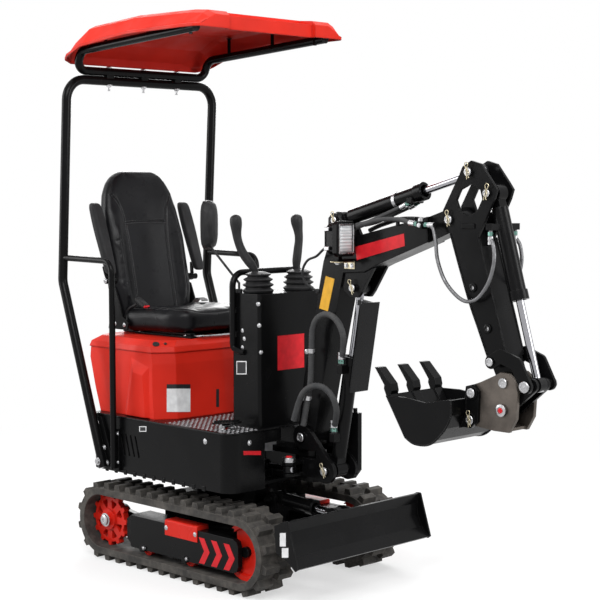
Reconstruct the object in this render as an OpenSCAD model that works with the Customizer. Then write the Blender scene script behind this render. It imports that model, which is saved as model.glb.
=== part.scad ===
// Tracked mini excavator with blade, swing boom, quick hitch, bucket, levers and canopy.
// Origin on the ground under the slew axis, X forward, Y left, Z up, millimetres.

/* [Tracks] */
// Width over both tracks
track_overall = 830; // [790:5:870]
// Width of one rubber track
track_width = 180; // [160:5:190]
// Distance from the sprocket axle to the idler axle
axle_base = 883; // [840:1:930]
// Height of the axles above the ground
axle_height = 172; // [165:1:180]
// Thickness of the rubber band
band = 30; // [26:1:34]
// Height of the lugs on the band
lug = 25; // [18:1:28]
// Links along one straight run
links_straight = 12; // [10:1:14]
// Links round one wheel
links_round = 6; // [5:1:7]

/* [House] */
// Width of the upper frame
house_width = 810; // [780:5:830]
// Underside of the upper frame
house_bottom = 406; // [400:1:420]
// Top of the footplate
deck_top = 650; // [630:1:670]
// Front face of the upper frame
house_front = 400; // [390:1:410]
// Rear face of the upper frame
house_rear = -520; // [-540:1:-500]
// Width of the engine hood
hood_width = 712; // [680:2:740]
// Top of the engine hood
hood_top = 985; // [970:1:1000]
// Width of the lever console
console_width = 396; // [360:2:430]
// Top of the lever console
console_top = 1205; // [1180:1:1230]

/* [Seat and canopy] */
// Width of the seat
seat_width = 450; // [420:2:480]
// Top of the seat's backrest
seat_top = 1735; // [1700:1:1760]
// Centre of one hoop post from the middle
hoop_half = 431; // [425:1:440]
// Diameter of the hoop tube
hoop_tube = 42; // [38:1:45]
// Centre of the hoop's top bar above the ground
hoop_top = 2124; // [2100:1:2150]
// Diameter of the handrail tube
rail_tube = 27; // [24:1:30]
// Width of the canopy roof
roof_width = 880; // [860:2:900]

/* [Digging arm] */
// Width of the boom
boom_width = 104; // [96:2:108]
// Width of the arm over its plates
arm_width = 110; // [104:2:114]
// Width of the bucket
bucket_width = 330; // [300:2:400]
// Diameter of the boom, arm and bucket cylinder barrels
barrel_dia = 62; // [58:1:64]
// Diameter of the chromed rods
rod_dia = 30; // [26:1:32]
// Diameter of the pivot pins
pin_dia = 30; // [26:1:30]
// Width of the blade
blade_width = 804; // [780:2:830]

/* [Hidden] */
$fn = 64;
// Gap round a pin that turns in a bore
pin_gap = 0.06;
// Gap between faces that move past each other
side_gap = 5;
wall = 5;
red = [0.86, 0.16, 0.05];
black = [0.05, 0.05, 0.05];
rubber = [0.09, 0.09, 0.09];
steel = [0.75, 0.75, 0.76];
cast = [0.36, 0.33, 0.30];

// Pivots in the side plane, each as X and Z
swing_x = 480;
boom_foot = [480, 613];
boom_cyl_foot = [612, 487];
boom_cyl_eye = [745, 1243];
arm_pivot = [1240, 1523];
arm_cyl_foot = [640, 1512];
arm_cyl_eye = [1332, 1700];
bucket_pivot = [1503, 930];
guide_pivot = [1457, 1005];
link_pivot = [1613, 927];
hitch_pivot = [1498, 829];
bucket_cyl_foot = [1418, 1622];
blade_pivot = [430, 205];
blade_cyl_foot = [255, 318];
blade_cyl_eye = [600, 300];
swing_cyl_y = -130;
swing_cyl_z = 485;
swing_eye = [swing_x - 20, swing_cyl_y, swing_cyl_z];
hook_pins = [[1371, 883], [1365, 782]];

band_out = axle_height - lug;
band_in = band_out - band;
track_y = (track_overall - track_width) / 2;
rear_axle = -axle_base / 2;
front_axle = axle_base / 2;
pitch = axle_base / links_straight;
pin = pin_dia / 2;
bore = pin + pin_gap;
house_half = house_width / 2;
boom_half = boom_width / 2;
arm_half = arm_width / 2;
plate = 12;
cheek_in = boom_half + side_gap;
cheek_out = cheek_in + 18;
eye_half = 25;
// Distance from a barrel's foot eye to its tube, clear of the ears
neck = 56;
ear_in = eye_half + side_gap;
ear_out = ear_in + 14;
tip_half = arm_half - plate - side_gap;
boss_half = 40;
hitch_in = boss_half + 6;
hitch_out = 62;
guide_in = 67;
guide_out = 79;
strap_in = 27;
strap_out = 41;

// Extrudes an outline given in X and Z between two places on Y
module side(y0, y1) {
    translate([0, y1, 0])
        rotate([90, 0, 0])
            linear_extrude(y1 - y0)
                children();
}

// Repeats its children on both sides of the middle plane
module both() {
    children();
    mirror([0, 1, 0])
        children();
}

// A round bar along Y
module bar_y(p, r, y0, y1) {
    translate([p[0], y1, p[1]])
        rotate([90, 0, 0])
            cylinder(r = r, h = y1 - y0);
}

// A round bar from one point to another
module rod(a, b, r) {
    d = b - a;
    translate(a)
        rotate([0, acos(d[2] / norm(d)), atan2(d[1], d[0])])
            cylinder(r = r, h = norm(d));
}

// A round tube along a list of points
module tube(points, r) {
    for (i = [0 : len(points) - 2])
        rod(points[i], points[i + 1], r);
    if (len(points) > 2)
        for (i = [1 : len(points) - 2])
            translate(points[i])
                sphere(r * 1.02);
}

// A flat strip with round ends between two points of an outline
module strip(a, b, r) {
    d = b - a;
    translate(a)
        rotate(atan2(d[1], d[0]))
            translate([0, -r])
                square([norm(d), 2 * r]);
    translate(a)
        circle(r);
    translate(b)
        circle(r);
}

// The same strip as one outline, its round ends worked out as short chords
module link_strip(a, b, r) {
    t = atan2(b[1] - a[1], b[0] - a[0]);
    polygon(concat([for (i = [0 : 12]) b + r * [cos(t - 90 + i * 15), sin(t - 90 + i * 15)]],
        [for (i = [0 : 12]) a + r * [cos(t + 90 + i * 15), sin(t + 90 + i * 15)]]));
}

module at2(p) {
    translate(p)
        children();
}

// Turns and moves its children so that X runs from one pivot towards another
module along(a, b) {
    d = b - a;
    translate([a[0], 0, a[1]])
        rotate([0, -atan2(d[1], d[0]), 0])
            children();
}

function reach(a, b) = norm(b - a);

// Moves each edge of a clockwise or anticlockwise outline inwards by a distance
function unit(v) = v / norm(v);
function edge_normal(a, b) = let (d = unit(b - a)) [-d[1], d[0]];
function inset(p, d) = [for (i = [0 : len(p) - 1])
    let (n = len(p),
        a = edge_normal(p[(i + n - 1) % n], p[i]),
        b = edge_normal(p[i], p[(i + 1) % n]))
    p[i] + (a + b) * d / (1 + a * b)];

// A closed skin through rings of points, each ring flat and with as many points
module loft(rings) {
    n = len(rings[0]);
    m = len(rings);
    polyhedron(points = [for (r = rings) each r],
        faces = concat([[for (i = [0 : n - 1]) i]], [[for (i = [n - 1 : -1 : 0]) (m - 1) * n + i]],
            [for (k = [0 : m - 2]) for (i = [0 : n - 1])
                let (a = k * n + i, b = k * n + (i + 1) % n)
                each [[b, a, a + n], [b, a + n, b + n]]]));
}

// Points on a smooth curve through a route's own points, three to a span
function route_point(p, i) = p[max(0, min(len(p) - 1, i))];
function curve_at(p, i, t) = let (a = route_point(p, i - 1), b = p[i], c = route_point(p, i + 1),
        d = route_point(p, i + 2))
    b + (c - a) * t / 2 + (2 * a - 5 * b + 4 * c - d) * t * t / 2 + (3 * b - a - 3 * c + d) * t * t * t / 2;
function smooth_route(p) = concat([for (i = [0 : len(p) - 2]) for (k = [0 : 2]) curve_at(p, i, k / 3)],
    [p[len(p) - 1]]);

// A hose along a route that never runs straight along Y
function hose_way(p, i) = unit(route_point(p, i + 1) - route_point(p, i - 1));
module hose(route, r) {
    p = smooth_route(route);
    loft([for (i = [0 : len(p) - 1])
        let (t = hose_way(p, i), n = unit(cross(t, [0, 1, 0])), b = cross(n, t))
        [for (k = [0 : 9]) p[i] + r * (n * cos(36 * k) - b * sin(36 * k))]]);
}

// A cylinder barrel along X from its foot eye at the origin to its gland
module barrel_body(gland, r, eye_r, half) {
    difference() {
        union() {
            translate([neck, 0, 0])
                rotate([0, 90, 0])
                    cylinder(r = r, h = gland - neck);
            translate([0, -half + 4, -18])
                cube([neck + 4, 2 * half - 8, 36]);
            translate([gland - 36, 0, 0])
                rotate([0, 90, 0])
                    cylinder(r = r + 5, h = 36);
            rotate([90, 0, 0])
                cylinder(r = eye_r, h = 2 * half, center = true);
        }
        translate([neck + 14, 0, 0])
            rotate([0, 90, 0])
                cylinder(r = r - 6, h = gland);
        rotate([90, 0, 0])
            cylinder(r = bore, h = 4 * half, center = true);
    }
}

// A rod along X with its eye at the given place, its piston inside the barrel
module rod_body(eye_x, piston_x, rr, pr, eye_r, half) {
    translate([piston_x, 0, 0])
        rotate([0, 90, 0])
            cylinder(r = pr, h = 24);
    translate([piston_x, 0, 0])
        rotate([0, 90, 0])
            cylinder(r = rr, h = eye_x - piston_x);
    translate([eye_x, 0, 0])
        rotate([90, 0, 0])
            cylinder(r = eye_r, h = 2 * half, center = true);
}

// Rubber track
module lug_block() {
    polygon([[-20, -2], [20, -2], [13, lug], [-13, lug]]);
}

module lug_row(shift) {
    for (i = [0 : links_straight - (shift == 0 ? 0 : 1)]) {
        x = rear_axle + (i + shift) * pitch;
        translate([x, axle_height - band_out])
            rotate(180)
                lug_block();
        translate([x, axle_height + band_out])
            lug_block();
    }
    for (j = [(shift == 0 ? 1 : 0) : links_round - 1]) {
        a = (j + shift) * 180 / links_round;
        translate([front_axle, axle_height])
            rotate(-a)
                translate([0, band_out])
                    lug_block();
        translate([rear_axle, axle_height])
            rotate(a)
                translate([0, band_out])
                    lug_block();
    }
}

module loop_outline(r) {
    strip([rear_axle, axle_height], [front_axle, axle_height], r);
}

module track() {
    half = track_width / 2;
    color(rubber)
        translate([0, track_y, 0]) {
            side(-half, half)
                difference() {
                    loop_outline(band_out);
                    loop_outline(band_in);
                }
            side(-half + 8, -4)
                lug_row(0);
            side(4, half - 8)
                lug_row(0.5);
        }
}

module track_left() {
    track();
}

module track_right() {
    mirror([0, 1, 0])
        track();
}

// Track frame with its rollers
frame_in = track_y - 50;
frame_out = track_y + 70;
roller_x = [-170, 108];
roller_z = 90;
roller_axle = 15;
roller_r = roller_z - lug - band - 0.5;
roller_in = frame_in + 18;
roller_out = frame_out - 30;
idler_axle = 22;
beam_rear = rear_axle + 141;
beam_front = front_axle - 72;
plate_rear = rear_axle + 189;
plate_front = front_axle - 8;

module frame_beam() {
    polygon([[beam_rear, 110], [beam_rear + 38, 82], [beam_front - 40, 82], [beam_front, 120],
        [beam_front, 200], [beam_front - 25, 224], [beam_rear + 38, 224], [beam_rear, 200]]);
}

module track_frame() {
    color(black) {
        difference() {
            side(frame_in, frame_out - 20)
                frame_beam();
            for (x = roller_x)
                bar_y([x, roller_z], roller_r + 4, roller_in - 2, roller_out + 2);
        }
        side(frame_out - 24, frame_out)
            polygon([[plate_rear, 90], [plate_rear + 6, 85], [plate_front - 30, 85], [plate_front - 9, 94],
                [plate_front, 115], [plate_front, 195], [plate_front - 9, 216], [plate_front - 30, 225],
                [plate_rear + 6, 225], [plate_rear, 219]]);
        for (x = roller_x)
            bar_y([x, roller_z], roller_axle, frame_in + 4, frame_out + 8);
        bar_y([rear_axle, axle_height], 60, frame_in + 2, frame_in + 40);
        side(frame_in + 4, frame_in + 30)
            link_strip([rear_axle, axle_height], [beam_rear + 30, 150], 45);
        bar_y([front_axle, axle_height], idler_axle, frame_in + 4, frame_out - 30);
        side(frame_in + 6, frame_in + 24)
            link_strip([beam_front - 30, 150], [front_axle, axle_height], 40);
    }
}

module track_frame_left() {
    track_frame();
}

module track_frame_right() {
    mirror([0, 1, 0])
        track_frame();
}

// Track rollers, each a pair of flanges on one hub
module rollers() {
    color(red)
        for (x = roller_x)
            difference() {
                union() {
                    bar_y([x, roller_z], roller_r, roller_in, roller_in + 24);
                    bar_y([x, roller_z], roller_r, roller_out - 24, roller_out);
                    bar_y([x, roller_z], roller_r - 9, roller_in + 10, roller_out - 10);
                }
                bar_y([x, roller_z], roller_axle + pin_gap, roller_in - 5, roller_out + 5);
                bar_y([x, roller_z], roller_r - 8, roller_out - 4, roller_out + 5);
            }
}

module rollers_left() {
    rollers();
}

module rollers_right() {
    mirror([0, 1, 0])
        rollers();
}

// Drive sprocket with its teeth, cut-outs and hub
sprocket_teeth = 12;
sprocket_holes = 8;
module sprocket_face() {
    root = band_in - 15;
    difference() {
        union() {
            circle(root);
            for (i = [0 : sprocket_teeth - 1])
                rotate(i * 360 / sprocket_teeth)
                    polygon([[-15, root - 12], [15, root - 12], [9, band_in], [-9, band_in]]);
        }
        for (i = [0 : sprocket_holes - 1])
            rotate((i + 0.5) * 360 / sprocket_holes)
                polygon([[-4, 52], [4, 52], [18, root - 21], [14, root - 14], [-14, root - 14], [-18, root - 21]]);
    }
}

module sprocket() {
    color(red) {
        side(frame_in + 58, frame_out - 34)
            translate([rear_axle, axle_height])
                sprocket_face();
        bar_y([rear_axle, axle_height], 46, frame_in + 40, frame_out - 24);
        bar_y([rear_axle, axle_height], 26, frame_out - 40, frame_out - 8);
    }
}

module sprocket_left() {
    sprocket();
}

module sprocket_right() {
    mirror([0, 1, 0])
        sprocket();
}

// Front idler wheel
module idler() {
    color(red)
        difference() {
            bar_y([front_axle, axle_height], band_in + 0.3, frame_in + 26, frame_out - 30);
            bar_y([front_axle, axle_height], idler_axle, frame_in, frame_out);
            bar_y([front_axle, axle_height], band_in - 20, frame_out - 46, frame_out);
            translate([beam_front - 190, frame_in, 60])
                cube([200, 200, 200]);
        }
}

module idler_left() {
    idler();
}

module idler_right() {
    mirror([0, 1, 0])
        idler();
}

// Red cover over the track tensioner
module cover() {
    color(red)
        translate([-17, 0, 0])
            rotate([90, 0, 90])
                linear_extrude(206)
                    polygon([[frame_out - 60, 225], [frame_out + 0.3, 225], [frame_out + 0.3, 176],
                        [frame_out + 4, 176], [frame_out + 4, 237], [frame_out - 2, 243], [frame_out - 60, 243]]);
}

module cover_left() {
    cover();
}

module cover_right() {
    mirror([0, 1, 0])
        cover();
}

// Centre frame with the slew bearing's lower ring
ring_r = 190;
spigot_r = 120;
ring_top = house_bottom - 2;

module carbody() {
    lug_y = 95;
    color(black) {
        difference() {
            translate([-250, -200, 110])
                cube([480, 400, 190]);
            translate([-238, -188, 100])
                cube([456, 376, 188]);
        }
        translate([0, 0, 290])
            cylinder(r = ring_r, h = ring_top - 290);
        translate([0, 0, 290])
            cylinder(r = spigot_r, h = house_bottom + 10 - 290);
        for (x = [-190, 130])
            translate([x, -frame_in, 110])
                cube([80, 2 * frame_in, 90]);
        both() {
            difference() {
                side(lug_y, lug_y + 20)
                    link_strip([200, 205], blade_pivot, 38);
            }
            bar_y(blade_pivot, pin, lug_y, lug_y + 60);
            bar_y(blade_pivot, pin + 9, lug_y + 52, lug_y + 60);
            side(ear_in, ear_out)
                polygon([[205, 290], [290, 290], [285, 330], [262, 348], [240, 340], [225, 320]]);
        }
        bar_y(blade_cyl_foot, pin, -ear_out - 6, ear_out + 6);
    }
}

// Dozer blade with its push arms
module blade() {
    half = blade_width / 2;
    arm_y = 120;
    color(black) {
        side(-half + 8, half - 8)
            polygon([[706, 344], [721, 344], [707, 300], [712, 250], [735, 205], [777, 167], [766, 160],
                [722, 196], [692, 250], [688, 300]]);
        both()
            side(half - 8, half)
                polygon([[724, 346], [780, 167], [766, 157], [722, 190], [660, 215], [650, 320], [704, 346]]);
        both()
            difference() {
                side(arm_y, arm_y + 25) {
                    at2(blade_pivot)
                        circle(36);
                    polygon([[424, 241], [436, 169], [600, 200], [704, 210], [704, 300], [590, 268]]);
                }
                bar_y(blade_pivot, bore, arm_y - 5, arm_y + 30);
            }
        translate([610, -140, 215])
            cube([30, 280, 55]);
        both() {
            side(ear_in, ear_out)
                polygon([[575, 285], [590, 270], [640, 240], [700, 240], [700, 320], [610, 330], [585, 325]]);
            bar_y(blade_cyl_eye, pin, ear_in, ear_out + 10);
        }
    }
}

blade_stroke = 70;
blade_barrel_r = 28;
module blade_barrel() {
    color(black)
        along(blade_cyl_foot, blade_cyl_eye)
            barrel_body(230, blade_barrel_r, 26, eye_half);
}

module blade_rod() {
    color(steel)
        along(blade_cyl_foot, blade_cyl_eye)
            rod_body(reach(blade_cyl_foot, blade_cyl_eye), 105, 14, blade_barrel_r - 7, 24, eye_half);
}

// Upper frame with footplate, skirts and swing lugs
module plan_house(inset) {
    r = 60 - inset;
    x0 = house_rear + inset;
    x1 = house_front - inset;
    h = house_half - inset;
    translate([x0, -h + r])
        square([x1 - x0, 2 * (h - r)]);
    translate([x0 + r, -h])
        square([x1 - x0 - 2 * r, 2 * h]);
    for (x = [x0 + r, x1 - r])
        for (y = [-h + r, h - r])
            translate([x, y])
                circle(r);
}

// Half the width of the notch that the swing post's cheeks turn in
notch_half = cheek_out + 40;
// Slanted louvre slots in each skirt
louvres = 5;
swing_low = [425, 450];
swing_high = [530, 555];
module house_frame() {
    color(black) {
        difference() {
            translate([0, 0, house_bottom])
                linear_extrude(deck_top - house_bottom)
                    plan_house(0);
            translate([0, 0, house_bottom + 14])
                linear_extrude(deck_top - house_bottom - 22)
                    plan_house(6);
            translate([house_front - 60, -210, house_bottom - 1])
                cube([100, 420, 190]);
            translate([house_front - 26, -notch_half, house_bottom - 1])
                cube([60, 2 * notch_half, deck_top]);
            for (i = [0 : louvres - 1])
                translate([-318 + 32 * i, 0, house_bottom + 125])
                    rotate([0, -16, 0])
                        cube([10, house_width + 20, 96], center = true);
            translate([0, 0, house_bottom - 1])
                cylinder(r = spigot_r + pin_gap, h = 20);
        }
        for (z = [swing_low, swing_high])
            translate([0, 0, z[0]])
                difference() {
                    union() {
                        translate([house_front - 130, -50, 0])
                            cube([swing_x - house_front + 130, 100, z[1] - z[0]]);
                        translate([swing_x, 0, 0])
                            cylinder(r = 50, h = z[1] - z[0]);
                    }
                }
        translate([house_front - 190, -90, house_bottom + 6])
            cube([70, 180, deck_top - house_bottom - 10]);
        translate([swing_x, 0, swing_low[0] - 6])
            cylinder(r = 24, h = swing_high[1] - swing_low[0] + 12);
        translate([40, swing_cyl_y - 30, house_bottom + 10])
            cube([40, 60, 110]);
    }
}

// Engine as one plain block
module engine_block() {
    color(steel)
        translate([-500, -190, deck_top])
            cube([280, 380, 260]);
}

// Engine hood and seat pedestal, a moulding with a chamfered lid and raised side facets
hood_half = hood_width / 2;
lid_z = hood_top - 52;
function hood_ring(z, rear, front, half) = [[rear, -half + 88, z], [rear + 52, -half + 8, z], [front - 70, -half, z],
    [front - 12, -half + 84, z], [front, 0, z], [front - 12, half - 84, z], [front - 70, half, z],
    [rear + 52, half - 8, z], [rear, half - 88, z]];
// Height above the footplate or below the lid's top, rear end, front end and half width of each ring
function hood_rings(i) = [hood_ring(deck_top - (i > 0 ? 1 : 0), -566 + i, -62 - i, hood_half - i),
    hood_ring(deck_top + 110, -606 + i, -74 - i, hood_half - 2 - i),
    hood_ring(lid_z - 46, -648 + i, -82 - i, hood_half - 8 - i),
    hood_ring(lid_z, -645 + i, -90 - i, hood_half - 10 - i),
    hood_ring(lid_z + 3, -650 + i, -86 - i, hood_half - 5 - i),
    hood_ring(hood_top - 24 - i / 2, -640 + i, -94 - i, hood_half - 10 - i),
    hood_ring(hood_top - i, -606 + i, -116 - i, hood_half - 44 - i)];
// Raised facet on one side, from its foot on the hood's side to its crown
module hood_facet() {
    y = hood_half - 12;
    loft([[[-352, y, deck_top + 4], [-300, y, 905], [-172, y, 880], [-146, y, deck_top + 4]],
        [[-306, y + 24, deck_top + 4], [-262, y + 24, 846], [-196, y + 24, 838], [-180, y + 24, deck_top + 4]]]);
}

module hood() {
    color(red)
        difference() {
            union() {
                loft(hood_rings(0));
                both()
                    hood_facet();
            }
            loft(hood_rings(wall));
        }
}

// Seat
cushion_bottom = hood_top + 20;
module seat_cushion() {
    h = seat_width / 2;
    color(black) {
        intersection() {
            side(-h, h)
                polygon([[-520, cushion_bottom], [-130, cushion_bottom], [-112, cushion_bottom + 25],
                    [-118, cushion_bottom + 75], [-150, cushion_bottom + 95], [-480, cushion_bottom + 80],
                    [-520, cushion_bottom + 70]]);
            translate([0, 0, cushion_bottom - 10])
                linear_extrude(200)
                    polygon([[-600, 10 - h], [-480, -h], [-230, -h], [-160, 22 - h], [-124, 64 - h], [-100, 130 - h],
                        [-100, h - 130], [-124, h - 64], [-160, h - 22], [-230, h], [-480, h], [-600, h - 10]]);
        }
        translate([-500, -150, hood_top])
            cube([360, 300, 21]);
    }
}

module seat_back() {
    h = seat_width / 2;
    top = seat_top + 10;
    color(black) {
        intersection() {
            side(-h - 5, h + 5)
                polygon([[-520, cushion_bottom], [-522, cushion_bottom + 90], [-655, seat_top - 25],
                    [-680, seat_top], [-710, seat_top - 15], [-720, seat_top - 60], [-600, cushion_bottom + 40],
                    [-575, cushion_bottom]]);
            translate([-800, 0, 0])
                rotate([90, 0, 90])
                    linear_extrude(400)
                        polygon([[36 - h, cushion_bottom - 10], [-h, cushion_bottom + 150], [-h, seat_top - 330],
                            [18 - h, seat_top - 170], [52 - h, seat_top - 80], [92 - h, seat_top - 26],
                            [140 - h, seat_top - 4], [150 - h, top], [h - 150, top], [h - 140, seat_top - 4],
                            [h - 92, seat_top - 26], [h - 52, seat_top - 80], [h - 18, seat_top - 170],
                            [h, seat_top - 330], [h, cushion_bottom + 150], [h - 36, cushion_bottom - 10]]);
        }
        translate([-600, -120, hood_top])
            cube([70, 240, 21]);
    }
}

module armrest() {
    h = seat_width / 2;
    color(black) {
        side(h + 12, h + 62)
            link_strip([-560, 1240], [-618, 1500], 27);
        bar_y([-570, 1225], 14, h - 4, h + 40);
    }
}

module armrest_left() {
    difference() {
        armrest();
        seat_back();
    }
}

module armrest_right() {
    mirror([0, 1, 0])
        armrest_left();
}

// Lever console
module console() {
    h = console_width / 2;
    color(black)
        difference() {
            translate([0, 0, deck_top])
                linear_extrude(console_top - deck_top) {
                    translate([190, -h + 14])
                        square([168, 2 * h - 28]);
                    translate([204, -h])
                        square([140, 2 * h]);
                    for (x = [204, 344])
                        for (y = [-h + 14, h - 14])
                            translate([x, y])
                                circle(14);
                }
            translate([196, -h + 6, deck_top - 1])
                cube([156, 2 * h - 12, console_top - deck_top - 5]);
        }
}

folds = 5;
bellows = [for (i = [0 : 2 * folds - 1]) [44 - 2.6 * i - (i % 2) * 6, 8 + 7.5 * i]];
lever_x = 280;
lever_y = 129;
module lever() {
    color(black) {
        translate([lever_x, lever_y, console_top]) {
            rotate_extrude()
                polygon(concat([[0, 0], [52, 0], [52, 8]], bellows, [[0, 6 + 15 * folds]]));
        }
        tube([[lever_x, lever_y, console_top + 60], [lever_x - 10, lever_y + 22, console_top + 122]], 11);
        tube([[lever_x - 9, lever_y + 20, console_top + 112], [lever_x - 24, lever_y + 44, console_top + 170],
            [lever_x - 27, lever_y + 50, console_top + 232], [lever_x - 27, lever_y + 51, console_top + 300]], 17);
        translate([lever_x - 27, lever_y + 51, console_top + 302])
            sphere(24);
    }
}

module lever_left() {
    lever();
}

module lever_right() {
    mirror([0, 1, 0])
        lever();
}

// Loop handle on the console
module front_handle() {
    y = console_width / 2 + rail_tube / 2;
    color(black) {
        tube([[210, -y, 1000], [210, -y, 1250], [225, -y + 40, 1290], [225, y - 40, 1290], [210, y, 1250],
            [210, y, 1000]], rail_tube / 2);
        both()
            for (z = [1020, 1120])
                translate([196, console_width / 2, z])
                    cube([28, rail_tube / 2, 24]);
    }
}

// Mirror on its stalk, its housing domed towards the front
mirror_sizes = [[0, 48, 100], [4, 53, 105], [20, 52, 104], [36, 42, 92], [46, 26, 72], [50, 10, 46]];
function squared(v) = sign(v) * pow(abs(v), 0.6);
function mirror_ring(x, half_y, half_z) = [for (i = [0 : 15])
    [x, half_y * squared(cos(22.5 * i)), half_z * squared(sin(22.5 * i))]];
module rear_mirror() {
    color(black) {
        tube([[214, -console_width / 2 + 20, console_top + 9], [214, -console_width / 2 + 20, console_top + 40],
            [150, -200, 1320], [60, -205, 1400], [40, -205, 1440]], 5);
        translate([214, -console_width / 2 + 20, console_top])
            cylinder(r = 14, h = 16);
        translate([36, -205, 1486])
            rotate([0, 0, 20])
                loft([for (s = mirror_sizes) mirror_ring(s[0], s[1], s[2])]);
    }
}

// Canopy hoop with its feet
hoop_r = hoop_tube / 2;
hoop_bend = [-672, 1227];
hoop_head = [-620, hoop_top];
hoop_foot = [-392, 420];
module hoop() {
    c = 90;
    color(black) {
        tube([[hoop_foot[0], -hoop_half, hoop_foot[1]], [hoop_bend[0], -hoop_half, hoop_bend[1]],
            [hoop_head[0] - c * 0.06, -hoop_half, hoop_top - c],
            [hoop_head[0] - c * 0.02, -hoop_half + c * 0.29, hoop_top - c * 0.29],
            [hoop_head[0], -hoop_half + c, hoop_top], [hoop_head[0], hoop_half - c, hoop_top],
            [hoop_head[0] - c * 0.02, hoop_half - c * 0.29, hoop_top - c * 0.29],
            [hoop_head[0] - c * 0.06, hoop_half, hoop_top - c],
            [hoop_bend[0], hoop_half, hoop_bend[1]], [hoop_foot[0], hoop_half, hoop_foot[1]]], hoop_r);
        both()
            side(house_half, hoop_half)
                polygon([[-440, 415], [-350, 415], [-350, 470], [-420, 640], [-505, 640]]);
    }
}

// Side handrails from the hoop to the upper frame
module rail() {
    r = rail_tube / 2;
    difference() {
        color(black) {
            tube([[-650, hoop_half, 1332], [-356, hoop_half, 1326], [-320, hoop_half, 1290],
                [-320, hoop_half, 426]], r);
            side(house_half, hoop_half)
                polygon([[-340, 415], [-300, 415], [-300, 600], [-340, 600]]);
        }
        hoop();
    }
}

module rail_left() {
    rail();
}

module rail_right() {
    mirror([0, 1, 0])
        rail();
}

// Roof frame tube
frame_tube_r = 19;
frame_z = hoop_top + hoop_r + frame_tube_r;
// Height of the roof's top along X
roof_high = [[-676, 2236], [-652, 2266], [-620, 2296], [-513, 2350], [-200, 2372], [150, 2368], [222, 2362],
    [245, 2344]];
function flip_y(p) = [p[0], -p[1], p[2]];
// One side of the frame tube, from the end of the rear bar to the front
roof_half = roof_width / 2;
frame_half = roof_half - 62;
// How far a strut's top lies below the roof's crown, just under the sloping shoulder
strut_drop = wall + 10.4;
frame_run = [[hoop_head[0], frame_half - 84, frame_z], [hoop_head[0] + 8, frame_half - 26, frame_z + 26],
    [hoop_head[0] + 40, frame_half, frame_z + 84], [180, frame_half, frame_z + 132]];
module roof_frame() {
    color(black)
        difference() {
            union() {
                tube(concat([for (i = [len(frame_run) - 1 : -1 : 0]) flip_y(frame_run[i])], frame_run), frame_tube_r);
                for (y = [-200, 0, 200])
                    translate([hoop_head[0] - 16, y - 20, hoop_top])
                        cube([32, 40, hoop_r + frame_tube_r]);
                both()
                    for (x = [-430, -140, 130])
                        translate([x, frame_half - 14, frame_z + 110])
                            cylinder(r = 8, h = lookup(x, roof_high) - strut_drop - frame_z - 110);
            }
            hoop();
        }
}

// Canopy roof, a moulding that is open below, with two blocks at its front corners
roof_lip = 12;
function roof_ring(x, half, low, high, i) = [[x, -half + i, i > 0 ? frame_z - 60 : low], [x, half - i, i > 0 ? frame_z - 60 : low],
    [x, half - i, low + roof_lip], [x, half - 16 - i, low + roof_lip + 5],
    [x, half - 52 - i, high - 15 - i], [x, half - 84 - i, high - i],
    [x, -half + 84 + i, high - i], [x, -half + 52 + i, high - 15 - i],
    [x, -half + 16 + i, low + roof_lip + 5], [x, -half + i, low + roof_lip]];
// How far each ring is drawn in from the full width, and the height of its lower edge
roof_in = [70, 20, 4, 0, 0, 0, 6, 26];
roof_low = [2194, 2206, 2219, 2256, 2287, 2290, 2290, 2291];
function roof_rings(i) = [for (k = [0 : len(roof_high) - 1])
    roof_ring(roof_high[k][0] + (k < 2 ? i : k == len(roof_high) - 1 ? -i : 0), roof_half - roof_in[k],
        roof_low[k], roof_high[k][1], i)];
// What the middle of the front edge is set back and down by
recess_half = roof_half - 190;
module front_recess(i) {
    translate([224 - i, -recess_half - i, 2200])
        cube([60, 2 * (recess_half + i), 260]);
    translate([150 - i, -recess_half - i, 2346 - i])
        cube([120, 2 * (recess_half + i), 60]);
}

module roof_hollow() {
    difference() {
        loft(roof_rings(wall));
        front_recess(wall);
    }
}

module roof() {
    color(red)
        difference() {
            loft(roof_rings(0));
            front_recess(0);
            roof_hollow();
        }
}

// Swing post between the upper frame and the boom
module swing_post() {
    z0 = swing_low[1] + 2;
    z1 = swing_high[0] - 2;
    color(black) {
        difference() {
            union() {
                translate([swing_x, 0, z0])
                    cylinder(r = 62, h = z1 - z0);
                translate([swing_x, -cheek_out, z0])
                    cube([90, 2 * cheek_out, z1 - z0]);
                both()
                    side(cheek_in, cheek_out) {
                        at2(boom_foot)
                            circle(50);
                        at2(boom_cyl_foot)
                            circle(50);
                        polygon([[436, 590], [440, 643], [480, 663], [520, 650], [655, 513], [612, 437],
                            [562, 445], [562, 563], [470, 563]]);
                    }
                for (z = [swing_cyl_z - 30, swing_cyl_z + 18])
                    translate([0, 0, z]) {
                        translate([swing_eye[0], swing_eye[1], 0])
                            cylinder(r = 28, h = 12);
                        translate([swing_eye[0] - 28, swing_eye[1], 0])
                            cube([56, -swing_eye[1], 12]);
                    }
                for (z = [swing_cyl_z - 30, swing_cyl_z + 18])
                    translate([swing_eye[0], swing_eye[1], z])
                        cylinder(r = 15, h = 12);
            }
            translate([swing_x, 0, z0 - 30])
                cylinder(r = 24 + pin_gap, h = 200);
            translate([boom_cyl_foot[0], 0, boom_cyl_foot[1]])
                rotate([90, 0, 0])
                    cylinder(r = 44, h = 2 * cheek_in, center = true);
        }
        side(cheek_out - 4, cheek_out + 18)
            polygon([[604, 470], [630, 440], [662, 478], [662, 716], [612, 716]]);
        translate([636, cheek_out + 7, 714])
            cylinder(r = 9, h = 20);
        bar_y(boom_foot, pin, -cheek_out - 10, cheek_out + 10);
        bar_y(boom_cyl_foot, pin, -cheek_out - 8, cheek_out + 8);
    }
}

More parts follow.
